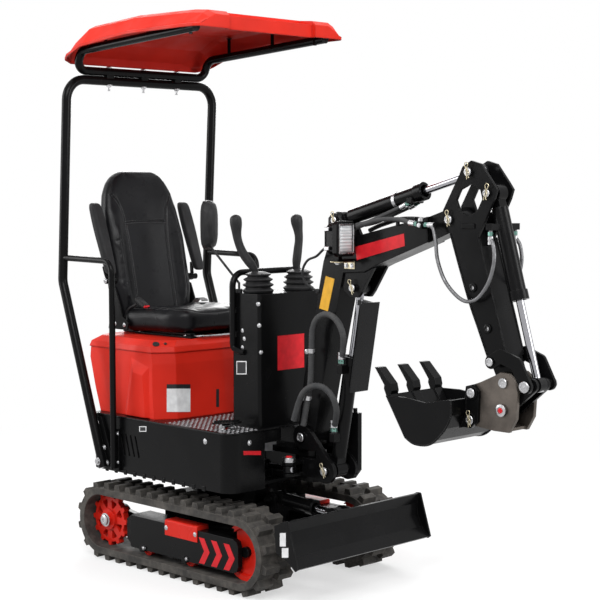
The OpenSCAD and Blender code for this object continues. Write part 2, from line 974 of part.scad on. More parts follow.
module swing_barrel() {
    color(black)
        translate([80, swing_cyl_y, swing_cyl_z])
            difference() {
                rotate([0, 90, 0])
                    cylinder(r = 26, h = 250);
                translate([12, 0, 0])
                    rotate([0, 90, 0])
                        cylinder(r = 20, h = 250);
            }
}

module swing_rod() {
    color(steel)
        translate(swing_eye) {
            translate([-256, 0, 0])
                rotate([0, 90, 0])
                    cylinder(r = 12, h = 256);
            translate([-256, 0, 0])
                rotate([0, 90, 0])
                    cylinder(r = 19, h = 16);
            translate([0, 0, -13])
                cylinder(r = 24, h = 26);
        }
}

// Boom
box_wall = 7;
boom_outline = [[434, 613], [473, 866], [582, 1342], [600, 1388], [640, 1423], [891, 1479], [1130, 1532],
    [1130, 1434], [874, 1340], [846, 1328], [806, 1310], [692, 1303], [582, 859], [526, 613]];
module boom() {
    inner = inset(boom_outline, -box_wall);
    color(black) {
        difference() {
            union() {
                difference() {
                    side(-boom_half, boom_half)
                        polygon(boom_outline);
                    side(-boom_half + box_wall, boom_half - box_wall)
                        polygon(inner);
                }
                bar_y(boom_foot, 46, -boom_half, boom_half);
            }
            bar_y(boom_foot, bore, -200, 200);
        }
        difference() {
            side(-tip_half, tip_half) {
                polygon([[1125, 1531], [1215, 1560], [1245, 1478], [1125, 1432]]);
                at2(arm_pivot)
                    circle(46);
            }
            bar_y(arm_pivot, bore, -200, 200);
        }
        both() {
            side(ear_in, ear_out)
                polygon([[668, 1290], [690, 1228], [724, 1205], [766, 1205], [786, 1228], [850, 1326], [720, 1330]]);
            bar_y(boom_cyl_eye, pin, ear_in, ear_out + 14);
            side(ear_in, ear_out)
                polygon([[600, 1380], [640, 1423], [720, 1441], [680, 1512], [660, 1540], [625, 1542], [602, 1520]]);
        }
        bar_y(arm_cyl_foot, pin, -ear_out - 8, ear_out + 8);
        both()
            translate([tip_start[0] - 26, tip_start[1] - 12, tip_start[2] - 14])
                cube([26, -boom_half - tip_start[1] + 15, 26]);
    }
}

lamp_x = 690;
lamp_z = 1442;
lamp_y = -boom_half - 72;
function lamp_ring(x, half_y, half_z) = [[x, lamp_y - half_y, lamp_z - half_z + 14], [x, lamp_y - half_y + 14, lamp_z - half_z],
    [x, lamp_y + half_y - 14, lamp_z - half_z], [x, lamp_y + half_y, lamp_z - half_z + 14],
    [x, lamp_y + half_y, lamp_z + half_z - 14], [x, lamp_y + half_y - 14, lamp_z + half_z],
    [x, lamp_y - half_y + 14, lamp_z + half_z], [x, lamp_y - half_y, lamp_z + half_z - 14]];
module work_lamp() {
    color(black) {
        difference() {
            loft([lamp_ring(lamp_x, 34, 44), lamp_ring(lamp_x + 22, 46, 60), lamp_ring(lamp_x + 60, 48, 64),
                lamp_ring(lamp_x + 62, 54, 70), lamp_ring(lamp_x + 84, 54, 70), lamp_ring(lamp_x + 88, 50, 66)]);
            translate([lamp_x + 78, lamp_y - 42, lamp_z - 58])
                cube([40, 84, 116]);
        }
        translate([lamp_x + 24, lamp_y - 10, lamp_z - 84])
            cube([30, 20, 40]);
        translate([lamp_x + 19, lamp_y - 20, lamp_z - 90])
            cube([40, -boom_half - lamp_y + 20, 8]);
    }
}

// A block on a barrel's side, just below the end of a hose, that reaches in to a given Y
module hose_port(p, y) {
    translate([p[0] - 13, p[1] - 13, p[2] - 36])
        cube([26, y - p[1] + 13, 34.8]);
}

// Boom cylinder
boom_gland = 480;
module boom_barrel() {
    color(black) {
        along(boom_cyl_foot, boom_cyl_eye)
            barrel_body(boom_gland, barrel_dia / 2, 34, eye_half + 5);
        hose_port(upper_port, -barrel_dia / 2 + 2);
        hose_port(lower_port, -barrel_dia / 2 + 2);
    }
}

module boom_rod() {
    l = reach(boom_cyl_foot, boom_cyl_eye);
    color(steel)
        along(boom_cyl_foot, boom_cyl_eye) {
            rod_body(l, l - 425, rod_dia / 2, barrel_dia / 2 - 7, 28, eye_half);
            translate([l - 420, -54, -60])
                cube([370, 108, 5]);
            translate([l - 70, -20, -56])
                cube([20, 40, 50]);
        }
}

// Hoses, their routes chosen by hand
hose_y = -98;
upper_port = [690, hose_y + 40, 930];
lower_port = [642, hose_y + 46, 646];
tip_start = [1130, -74, 1501];
tip_port = [1448, -74, 1486];
upper_hose = [[512, hose_y, 668], [534, hose_y, 768], [554, hose_y, 860], [560, hose_y, 1000], [566, hose_y, 1070],
    [594, hose_y, 1116], [644, hose_y + 4, 1134], [692, hose_y + 8, 1112], [718, hose_y + 16, 1060],
    [706, hose_y + 32, 1000], [691, hose_y + 40, 960], upper_port];
lower_hose = [[488, hose_y - 32, 690], [518, hose_y - 32, 768], [550, hose_y - 32, 816], [598, hose_y - 26, 842],
    [644, hose_y - 14, 836], [678, hose_y, 800], [684, hose_y + 16, 750], [660, hose_y + 36, 700],
    [643, hose_y + 46, 674], lower_port];
tip_hose = [tip_start + [0.5, 0, 0], tip_start + [11, 0, 0], tip_start + [22, 0, 0], [1180, -78, 1488],
    [1196, -82, 1440], [1208, -84, 1370], [1244, -86, 1296], [1300, -86, 1242], [1352, -86, 1222], [1404, -86, 1240], [1450, -86, 1298], [1472, -84, 1370], [1466, -80, 1430],
    tip_port - [0, 0, 26], tip_port - [0, 0, 13], tip_port];
hose_r = 13;
tip_hose_r = 8;
module boom_hoses() {
    color(rubber) {
        hose(upper_hose, hose_r);
        hose(lower_hose, hose_r);
    }
}

module tip_hoses() {
    color(rubber)
        both()
            hose(tip_hose, tip_hose_r);
}

// Arm
arm_outline = [[1198, 1530], [1240, 1478], [1337, 1217], [1425, 1020], [1422, 995], [1440, 975], [1476, 900],
    [1503, 890], [1530, 900], [1543, 930], [1504, 1045], [1429, 1287], [1376, 1460], [1448, 1600],
    [1460, 1635], [1440, 1662], [1385, 1730], [1340, 1742], [1300, 1720], [1285, 1690], [1210, 1560]];
arm_box = [[1268, 1418], [1344, 1222], [1424, 1045], [1494, 1045], [1421, 1285], [1380, 1418]];

module arm() {
    color(black) {
        difference() {
            side(-arm_half, arm_half)
                difference() {
                    polygon(arm_outline);
                    polygon([[1272, 1596], [1292, 1634], [1340, 1656], [1384, 1634], [1394, 1600], [1370, 1556],
                        [1330, 1536], [1290, 1552]]);
                }
            side(-arm_half + box_wall, arm_half - box_wall)
                polygon(arm_box);
            translate([1140, -arm_half + plate, 1426])
                cube([400, 2 * (arm_half - plate), 400]);
            bar_y(bucket_pivot, 97, boss_half, 100);
            bar_y(bucket_pivot, 97, -100, -boss_half);
        }
        bar_y(arm_pivot, pin, -arm_half - 8, arm_half + 8);
        bar_y(bucket_cyl_foot, pin, -arm_half - 8, arm_half + 8);
        both()
            bar_y(arm_cyl_eye, pin, arm_half - plate, arm_half + 10);
        bar_y(guide_pivot, pin - 1, -guide_out - 8, guide_out + 8);
        bar_y(bucket_pivot, pin, -hitch_out - 3, hitch_out + 3);
    }
}

arm_gland = 450;
module arm_barrel() {
    color(black)
        along(arm_cyl_foot, arm_cyl_eye)
            barrel_body(arm_gland, barrel_dia / 2, 34, eye_half);
}

module arm_rod() {
    l = reach(arm_cyl_foot, arm_cyl_eye);
    color(steel)
        along(arm_cyl_foot, arm_cyl_eye)
            rod_body(l, l - 425, rod_dia / 2, barrel_dia / 2 - 7, 30, eye_half);
}

bucket_gland = 406;
module bucket_barrel() {
    color(black) {
        along(bucket_cyl_foot, link_pivot)
            barrel_body(bucket_gland, barrel_dia / 2, 34, eye_half);
        both()
            translate([tip_port[0] - 13, tip_port[1] - 12, tip_port[2] + 0.5])
                cube([26, 58, 24]);
    }
}

module bucket_rod() {
    l = reach(bucket_cyl_foot, link_pivot);
    color(steel)
        along(bucket_cyl_foot, link_pivot)
            rod_body(l, l - 395, rod_dia / 2, barrel_dia / 2 - 7, 28, 20);
}

// Arched guide link beside the arm
module guide_link() {
    color(black) {
        difference() {
            side(guide_in, guide_out)
                difference() {
                    union() {
                        link_strip(guide_pivot, [1500, 1030], 26);
                        link_strip([1500, 1030], [1570, 1005], 26);
                        link_strip([1570, 1005], link_pivot, 26);
                    }
                }
            bar_y(guide_pivot, pin - 1 + pin_gap, 0, 200);
        }
        bar_y(link_pivot, pin - 1, 25, guide_out + 8);
    }
}

module guide_link_left() {
    guide_link();
}

module guide_link_right() {
    mirror([0, 1, 0])
        guide_link();
}

module connecting_link() {
    color(black)
        both() {
            difference() {
                side(strap_in, strap_out)
                    link_strip(hitch_pivot, link_pivot, 25);
                bar_y(link_pivot, pin - 1 + pin_gap, 0, 200);
            }
        }
    color(steel)
        bar_y(hitch_pivot, pin, -strap_out, strap_out);
}

// Quick hitch, a grey casting
module hitch() {
    color(cast) {
        difference() {
            both()
                side(hitch_in, hitch_out)
                    polygon([[1345, 905], [1400, 925], [1466, 955], [1490, 968], [1525, 966], [1552, 945],
                        [1567, 900], [1560, 800], [1530, 749], [1463, 749], [1400, 755], [1345, 760]]);
            bar_y(bucket_pivot, bore, -200, 200);
        }
        side(-hitch_in - 4, hitch_in + 4)
            polygon([[1360, 770], [1420, 770], [1420, 900], [1360, 900]]);
        side(-hitch_in - 4, hitch_in + 4)
            polygon([[1380, 755], [1525, 752], [1525, 763], [1410, 780], [1380, 780]]);
        both()
            bar_y(hitch_pivot, pin + 4, hitch_in, hitch_out + 8);
    }
}

// Bucket with its ears and teeth
bucket_outline = [[1023, 848], [1118, 699], [1154, 680], [1194, 676], [1234, 682], [1268, 702],
    [1316, 752], [1340, 802], [1342, 860]];
bucket_inside = [[1334, 860], [1332, 804], [1309, 757], [1263, 710], [1232, 690], [1194, 684],
    [1157, 688], [1124, 705], [1030, 852]];
module bucket() {
    half = bucket_width / 2;
    color(black) {
        side(-half, half)
            polygon(concat(bucket_outline, bucket_inside));
        both() {
            side(half - 8, half)
                polygon(concat(bucket_outline, [[1328, 861], [1217, 839], [1120, 850]]));
            side(hitch_out, hitch_out + 14)
                polygon([[1290, 740], [1330, 750], [1365, 750], [1396, 775], [1400, 890], [1375, 915],
                    [1340, 905], [1334, 860], [1309, 757]]);
        }
        for (p = hook_pins)
            both()
                bar_y(p, 18, hitch_out, hitch_out + 24);
        for (y = [-132, 0, 132])
            side(y - 22, y + 22)
                polygon([[1078, 786], [1060, 776], [1018, 838], [1002, 872], [1004, 886], [955, 951], [974, 951],
                    [1034, 892], [1040, 866], [1036, 852]]);
    }
}

track_left();
track_right();
track_frame_left();
track_frame_right();
sprocket_left();
sprocket_right();
idler_left();
idler_right();
cover_left();
cover_right();
rollers_left();
rollers_right();
carbody();
blade();
blade_barrel();
blade_rod();
house_frame();
engine_block();
hood();
seat_cushion();
seat_back();
armrest_left();
armrest_right();
console();
lever_left();
lever_right();
front_handle();
rear_mirror();
hoop();
rail_left();
rail_right();
roof_frame();
roof();
swing_post();
swing_barrel();
swing_rod();
boom();
work_lamp();
boom_barrel();
boom_hoses();
tip_hoses();
boom_rod();
arm();
arm_barrel();
arm_rod();
bucket_barrel();
bucket_rod();
guide_link_left();
guide_link_right();
connecting_link();
hitch();
bucket();
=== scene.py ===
"""Looks of a tracked micro excavator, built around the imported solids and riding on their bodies."""
import math

import bmesh
import bpy
from mathutils import Matrix, Vector
from mathutils.bvhtree import BVHTree


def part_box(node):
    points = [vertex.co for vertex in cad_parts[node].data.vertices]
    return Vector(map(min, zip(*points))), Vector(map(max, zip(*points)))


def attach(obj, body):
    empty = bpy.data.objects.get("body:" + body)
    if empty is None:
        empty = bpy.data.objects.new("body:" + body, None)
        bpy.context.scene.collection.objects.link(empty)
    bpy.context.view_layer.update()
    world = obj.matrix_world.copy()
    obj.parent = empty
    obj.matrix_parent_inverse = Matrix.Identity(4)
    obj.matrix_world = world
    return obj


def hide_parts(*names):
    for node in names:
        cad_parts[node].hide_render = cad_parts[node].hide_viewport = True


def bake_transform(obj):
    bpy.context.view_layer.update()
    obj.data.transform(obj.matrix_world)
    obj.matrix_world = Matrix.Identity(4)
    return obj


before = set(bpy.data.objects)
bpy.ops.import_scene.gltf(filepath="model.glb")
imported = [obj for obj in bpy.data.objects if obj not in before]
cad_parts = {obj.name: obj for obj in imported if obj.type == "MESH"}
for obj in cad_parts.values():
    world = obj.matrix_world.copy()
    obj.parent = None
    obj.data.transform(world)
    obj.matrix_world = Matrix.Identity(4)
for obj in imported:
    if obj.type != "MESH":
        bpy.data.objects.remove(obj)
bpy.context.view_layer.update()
scene = bpy.context.scene
scene.view_settings.view_transform = "Standard"

# Camera, fitted to the photograph
CAM_POS = Vector((4.8182, -4.4632, 1.6432))
CAM_AZ = math.radians(44.7343)
CAM_EL = math.radians(4.2715)
CAM_ROLL = math.radians(-0.075)
FOCAL_PX = 1505.083
IMAGE_PX = 600


def camera_turn():
    right = Vector((math.cos(CAM_AZ), math.sin(CAM_AZ), 0))
    back = Vector((right.y, -right.x, 0)) * math.cos(CAM_EL) + Vector((0, 0, math.sin(CAM_EL)))
    up = back.cross(right)
    return Matrix((right, up, back)).transposed().to_4x4() @ Matrix.Rotation(CAM_ROLL, 4, "Z")


def add_camera():
    data = bpy.data.cameras.new("camera")
    data.sensor_width = 36.0
    data.lens = FOCAL_PX / IMAGE_PX * data.sensor_width
    data.clip_end = 100
    cam = bpy.data.objects.new("camera", data)
    cam.matrix_world = Matrix.Translation(CAM_POS) @ camera_turn()
    scene.collection.objects.link(cam)
    scene.camera = cam


add_camera()


# Materials

class Nodes:
    """Short ways to add nodes to a shader tree."""

    def __init__(self, tree):
        self.tree = tree

    def put(self, value, socket):
        """Sets a socket, or links another node's output to it."""
        if isinstance(value, bpy.types.NodeSocket):
            self.tree.links.new(value, socket)
        else:
            socket.default_value = value

    def node(self, kind, values=None, **props):
        made = self.tree.nodes.new("ShaderNode" + kind)
        for key, value in props.items():
            setattr(made, key, value)
        for key, value in (values or {}).items():
            self.put(value, made.inputs[key])
        return made

    def math(self, op, a, b):
        return self.node("Math", {0: a, 1: b}, operation=op).outputs["Value"]

    def span(self, value, low, high, start=(0.3, 0.7)):
        values = {"Value": value, "From Min": start[0], "From Max": start[1], "To Min": low, "To Max": high}
        return self.node("MapRange", values).outputs["Result"]

    def seen_rays(self):
        """1 for rays from the camera, off gloss and through glass."""
        rays = self.node("LightPath").outputs
        straight = self.math("MAXIMUM", rays["Is Camera Ray"], rays["Is Glossy Ray"])
        return self.math("MAXIMUM", straight, rays["Is Transmission Ray"])


class Mat(Nodes):
    """A material with its shader and its textures, which lie in the object's own coordinates."""

    def __init__(self, name, color, rough, metal=0.0, **sockets):
        self.mat = bpy.data.materials.new(name)
        self.mat.use_nodes = True
        super().__init__(self.mat.node_tree)
        self.shader = self.tree.nodes["Principled BSDF"]
        self.color = color
        self.to((*color, 1), "Base Color")
        self.to(rough, "Roughness")
        self.to(metal, "Metallic")
        for key, value in sockets.items():
            self.to(value, key.replace("_", " "))
        self.place = self.node("TexCoord").outputs["Object"]

    def to(self, value, socket):
        self.put(value, self.shader.inputs[socket])

    def noise(self, scale, detail, rough=0.5):
        values = {"Vector": self.place, "Scale": scale, "Detail": detail, "Roughness": rough}
        return self.node("TexNoise", values).outputs["Fac"]

    def wave(self, scale, direction):
        values = {"Vector": self.place, "Scale": scale}
        return self.node("TexWave", values, bands_direction=direction).outputs["Fac"]

    def ramp(self, fac, *stops):
        made = self.node("ValToRGB", {"Fac": fac})
        for element, (pos, color) in zip(made.color_ramp.elements, stops):
            element.position = pos
            element.color = (*color, 1)
        return made.outputs["Color"]

    def mix(self, fac, a, b):
        made = self.node("Mix", {0: fac}, data_type="RGBA")
        for index, value in ((6, a), (7, b)):
            self.put((*value, 1) if isinstance(value, tuple) else value, made.inputs[index])
        return made.outputs[2]

    def vector(self, op, *values):
        made = self.node("VectorMath", dict(enumerate(values)), operation=op)
        return made.outputs["Value" if op in ("DOT_PRODUCT", "LENGTH") else "Vector"]

    def tone(self, scale, detail, low, high, start=(0.3, 0.7)):
        """The base colour, uneven between a darker and a lighter shade of it."""
        dark, light = shades(self.color, low, high)
        return self.ramp(self.noise(scale, detail), (start[0], dark), (start[1], light))

    def gloss(self, scale, detail, low, high):
        self.to(self.span(self.noise(scale, detail), low, high), "Roughness")

    def rounded(self, radius):
        """Normal of softly rounded edges."""
        return self.node("Bevel", {"Radius": radius}, samples=4).outputs["Normal"]

    def edges(self, radius):
        """Mask that is 1 along sharp edges."""
        face = self.node("NewGeometry").outputs["Normal"]
        return self.span(self.vector("DOT_PRODUCT", self.rounded(radius), face), 1.0, 0.0, (0.80, 0.995))

    def bump(self, height, strength, distance, normal=None):
        values = {"Height": height, "Strength": strength, "Distance": distance}
        if normal is not None:
            values["Normal"] = normal
        self.to(self.node("Bump", values).outputs["Normal"], "Normal")


def shades(color, low, high):
    return tuple(c * low for c in color), tuple(min(1, c * high) for c in color)


def paint(name, color, rough, spec, edge_color, peel=0.06, rounding=0.003):
    """Sprayed or powder-coated paint: orange peel, uneven gloss, edges a little worn."""
    m = Mat(name, color, rough, Specular_IOR_Level=spec)
    worn = m.math("MULTIPLY", m.edges(0.0035), m.span(m.noise(46.0, 4.0), 0.0, 0.7, (0.42, 0.66)))
    m.to(m.mix(worn, m.tone(3.0, 4.0, 0.84, 1.14), edge_color), "Base Color")
    m.gloss(9.0, 5.0, rough * 0.75, rough * 1.35)
    m.bump(m.noise(260.0, 2.0), peel, 0.002, m.rounded(rounding))
    return m.mat


def rubber(name, color, rough, scuff, dust=(0.16, 0.155, 0.15)):
    m = Mat(name, color, rough, Specular_IOR_Level=0.16)
    dusty = m.span(m.noise(16.0, 6.0, 0.65), 0.0, scuff, (0.42, 0.72))
    worn = m.math("MAXIMUM", dusty, m.math("MULTIPLY", m.edges(0.005), scuff))
    m.to(m.mix(worn, color, dust), "Base Color")
    m.gloss(30.0, 4.0, rough * 0.85, min(1, rough * 1.2))
    m.bump(m.noise(190.0, 5.0), 0.25, 0.0015, m.rounded(0.004))
    return m.mat


def metal(name, color, rough, grain=300.0):
    m = Mat(name, color, rough, 1.0)
    m.to(m.tone(40.0, 4.0, 0.8, 1.12), "Base Color")
    m.gloss(60.0, 4.0, rough * 0.7, rough * 1.5)
    m.bump(m.noise(grain, 2.0), 0.04, 0.0005, m.rounded(0.001))
    return m.mat


def cast_iron(name, color):
    m = Mat(name, color, 0.48, 0.75)
    m.to(m.tone(13.0, 6.0, 0.62, 1.25), "Base Color")
    m.gloss(24.0, 5.0, 0.36, 0.62)
    m.bump(m.noise(130.0, 5.0), 0.28, 0.002, m.rounded(0.003))
    return m.mat


def vinyl(name, color, rough):
    m = Mat(name, color, rough, Specular_IOR_Level=0.13)
    m.to(m.tone(7.0, 4.0, 0.75, 1.35), "Base Color")
    m.gloss(22.0, 4.0, rough * 0.82, rough * 1.25)
    pores = m.node("TexVoronoi", {"Vector": m.place, "Scale": 420.0}).outputs["Distance"]
    grain = m.math("ADD", pores, m.math("MULTIPLY", m.noise(900.0, 2.0), 0.4))
    m.bump(m.math("ADD", grain, m.math("MULTIPLY", m.noise(14.0, 3.0), 3.0)), 0.16, 0.0012)
    return m.mat


def webbing(name, color):
    m = Mat(name, color, 0.7, Sheen_Weight=0.25)
    weave = m.math("MULTIPLY", m.wave(420.0, "X"), m.wave(420.0, "Y"))
    dark, light = shades(color, 0.6, 1.4)
    m.to(m.ramp(weave, (0.1, dark), (0.8, light)), "Base Color")
    m.bump(weave, 0.4, 0.001)
    return m.mat


def printed(name, color):
    """A blank plate or sticker: smooth film with faint smudges."""
    m = Mat(name, color, 0.34, Specular_IOR_Level=0.2)
    m.to(m.tone(34.0, 5.0, 0.86, 1.06, (0.32, 0.66)), "Base Color")
    m.gloss(60.0, 3.0, 0.28, 0.46)
    m.bump(m.noise(500.0, 2.0), 0.03, 0.0005)
    return m.mat


def lamp_glass():
    m = Mat("lamp_glass", (0.70, 0.73, 0.75), 0.12, Specular_IOR_Level=0.6)
    bands = m.wave(26.0, "Z")
    m.to(m.ramp(bands, (0.1, (0.62, 0.64, 0.66)), (0.8, (0.88, 0.90, 0.91))), "Base Color")
    m.gloss(50.0, 3.0, 0.08, 0.2)
    m.bump(bands, 0.35, 0.002)
    return m.mat


def rod_finish(name, foot, eye, radius):
    """Chrome along a rod's own axis, black paint on its eye, piston cap and brackets."""
    m = Mat(name, (0.7, 0.7, 0.72), 0.1, 1.0, Specular_IOR_Level=0.15)
    away = m.vector("SUBTRACT", m.place, Vector(foot) / 1000)
    side = m.vector("CROSS_PRODUCT", away, (Vector(eye) - Vector(foot)).normalized())
    bare = m.math("LESS_THAN", m.vector("LENGTH", side), radius / 1000 + 0.0008)
    m.to(m.mix(bare, (0.0045, 0.0045, 0.005), (0.34, 0.34, 0.36)), "Base Color")
    m.to(bare, "Metallic")
    uneven = m.span(m.noise(40.0, 4.0), 0.22, 0.36)
    m.to(m.math("SUBTRACT", uneven, m.math("MULTIPLY", bare, 0.14)), "Roughness")
    m.bump(m.noise(600.0, 2.0), 0.03, 0.0005, m.rounded(0.002))
    return m.mat


BLACK = paint("black_gloss", (0.0042, 0.0042, 0.0045), 0.22, 0.09, (0.04, 0.04, 0.04))
RED = paint("red_gloss", (0.62, 0.018, 0.009), 0.30, 0.16, (0.40, 0.016, 0.010))
RED_PLASTIC = paint("red_moulded", (0.66, 0.022, 0.010), 0.46, 0.16, (0.52, 0.02, 0.012), 0.05, 0.008)
TRACK = rubber("track_rubber", (0.040, 0.038, 0.036), 0.66, 0.55, (0.17, 0.155, 0.138))
PLASTIC = rubber("black_plastic", (0.016, 0.016, 0.017), 0.45, 0.10)
SLEEVE = rubber("hose_sleeve", (0.050, 0.051, 0.053), 0.62, 0.25)
ZINC = metal("zinc_plate", (0.43, 0.43, 0.44), 0.30)
GOLD = metal("yellow_zinc", (0.52, 0.46, 0.32), 0.33)
WORN = metal("worn_plate", (0.26, 0.26, 0.27), 0.38)
GREEN = metal("green_zinc", (0.14, 0.27, 0.23), 0.35)
BRAID = metal("braided_hose", (0.15, 0.15, 0.155), 0.42, 500.0)
MIRROR = metal("mirror_glass", (0.82, 0.84, 0.86), 0.03, 900.0)
CAST = cast_iron("cast_coupler", (0.105, 0.090, 0.078))
IRON = cast_iron("engine_iron", (0.16, 0.16, 0.16))
VINYL = vinyl("black_vinyl", (0.0055, 0.0055, 0.0065), 0.31)
PAD = vinyl("grey_pad", (0.020, 0.020, 0.021), 0.52)
THREAD = webbing("stitch_thread", (0.05, 0.05, 0.052))
BELT = webbing("belt_webbing", (0.025, 0.025, 0.027))
WHITE = printed("blank_white", (0.84, 0.84, 0.85))
RED_FILM = printed("blank_red", (0.66, 0.016, 0.024))
YELLOW = printed("blank_yellow", (0.80, 0.42, 0.03))
DARK_FILM = printed("blank_dark", (0.02, 0.02, 0.022))
LENS = lamp_glass()

# Rods: both pins in millimetres, and the radius
RODS = {
    "boom_rod": ((612, 0, 487), (745, 0, 1243), 15),
    "arm_rod": ((640, 0, 1512), (1332, 0, 1700), 15),
    "bucket_rod": ((1418, 0, 1622), (1613, 0, 927), 15),
    "blade_rod": ((255, 0, 318), (600, 0, 300), 14),
    "swing_rod": ((200, -130, 485), (460, -130, 485), 12),
}
NODE_MATERIALS = {
    TRACK: ("track_left", "track_right"),
    RED: ("sprocket_left", "sprocket_right", "idler_left", "idler_right", "cover_left", "cover_right",
          "rollers_left", "rollers_right"),
    RED_PLASTIC: ("roof", "hood"),
    CAST: ("hitch",),
    IRON: ("engine_block",),
    VINYL: ("seat_cushion", "seat_back", "armrest_left", "armrest_right"),
    PLASTIC: ("lever_left", "lever_right", "rear_mirror"),
    SLEEVE: ("boom_hoses", "tip_hoses"),
}
dressed = {name: mat for mat, names in NODE_MATERIALS.items() for name in names}
dressed.update({name: rod_finish(name + "_finish", *axis) for name, axis in RODS.items()})
for name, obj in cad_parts.items():
    obj.data.materials.clear()
    obj.data.materials.append(dressed.get(name, BLACK))


# Tools for small pieces, in millimetres

# Outward on the right side, which the photograph shows, and upward
OUT = (0, -1, 0)
UP = (0, 0, 1)


def pixel_ray(u, v):
    """Direction of the ray through a pixel of the photograph."""
    half = IMAGE_PX / 2
    ray = Vector(((u - half) / FOCAL_PX, (half - v) / FOCAL_PX, -1))
    return (camera_turn().to_3x3() @ ray).normalized()


trees = {}


def surface(node):
    """A CAD node's faces, ready to be met by rays."""
    if node not in trees:
        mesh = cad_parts[node].data
        faces = [p.vertices for p in mesh.polygons]
        trees[node] = BVHTree.FromPolygons([v.co for v in mesh.vertices], faces)
    return trees[node]


def pixel_of(p):
    """Pixel of the photograph where a point in metres is seen."""
    x, y, z = camera_turn().to_3x3().transposed() @ (Vector(p) - CAM_POS)
    half = IMAGE_PX / 2
    return half - x / z * FOCAL_PX, half + y / z * FOCAL_PX


def seen(node, u, v):
    """Where a pixel's ray meets a node, and the normal there; a miss is drawn to the node's middle."""
    low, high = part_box(node)
    mid = pixel_of((low + high) / 2)
    for k in range(30):
        t = k / 60
        ray = pixel_ray(u + (mid[0] - u) * t, v + (mid[1] - v) * t)
        place, normal, _, _ = surface(node).ray_cast(CAM_POS, ray)
        if place is not None:
            return place * 1000, normal
    raise RuntimeError(f"pixel {u:.0f},{v:.0f} misses {node}")


def curve(points, per):
    """Points on a smooth curve through a route's own points."""
    pts = [Vector(p) for p in points]
    ends = [pts[0], *pts, pts[-1]]
    out = []
    for i in range(len(pts) - 1):
        a, b, c, d = ends[i:i + 4]
        for k in range(per):
            t = k / per
            out.append(b + (c - a) * (t / 2) + (2 * a - 5 * b + 4 * c - d) * (t * t / 2)
                       + (3 * b - a - 3 * c + d) * (t ** 3 / 2))
    return [*out, pts[-1]]


def line(points, step):
    """The same curve with points at even steps along it."""
    dense = curve(points, 24)
    out = [dense[0]]
    gone = 0.0
    for a, b in zip(dense, dense[1:]):
        span = (b - a).length
        while span > 0 and gone + span >= step:
            a = a.lerp(b, (step - gone) / span)
            out.append(a)
            span = (b - a).length
            gone = 0.0
        gone += span
    if (out[-1] - dense[-1]).length < step * 0.4:
        out.pop()
    return [*out, dense[-1]]


def length_of(points):
    return sum((b - a).length for a, b in zip(points, points[1:]))


def bent(points, radius, steps=8):
    """A route of straight runs with round bends between them."""
    pts = [Vector(p) for p in points]
    out = [pts[0]]
    for a, b, c in zip(pts, pts[1:], pts[2:]):
        back, on = (a - b).normalized(), (c - b).normalized()
        half = back.angle(on) / 2
        reach = min(radius / math.tan(half), (a - b).length * 0.49, (c - b).length * 0.49)
        middle = b + (back + on).normalized() * (reach / math.cos(half))
        start, end = b + back * reach - middle, b + on * reach - middle
        for i in range(steps + 1):
            out.append(middle + start.slerp(end, i / steps).normalized() * start.length)
    return [*out, pts[-1]]


def new_object(name, bm, mats):
    mesh = bpy.data.meshes.new(name)
    bm.to_mesh(mesh)
    bm.free()
    for mat in mats:
        mesh.materials.append(mat)
    obj = bpy.data.objects.new(name, mesh)
    scene.collection.objects.link(obj)
    return obj


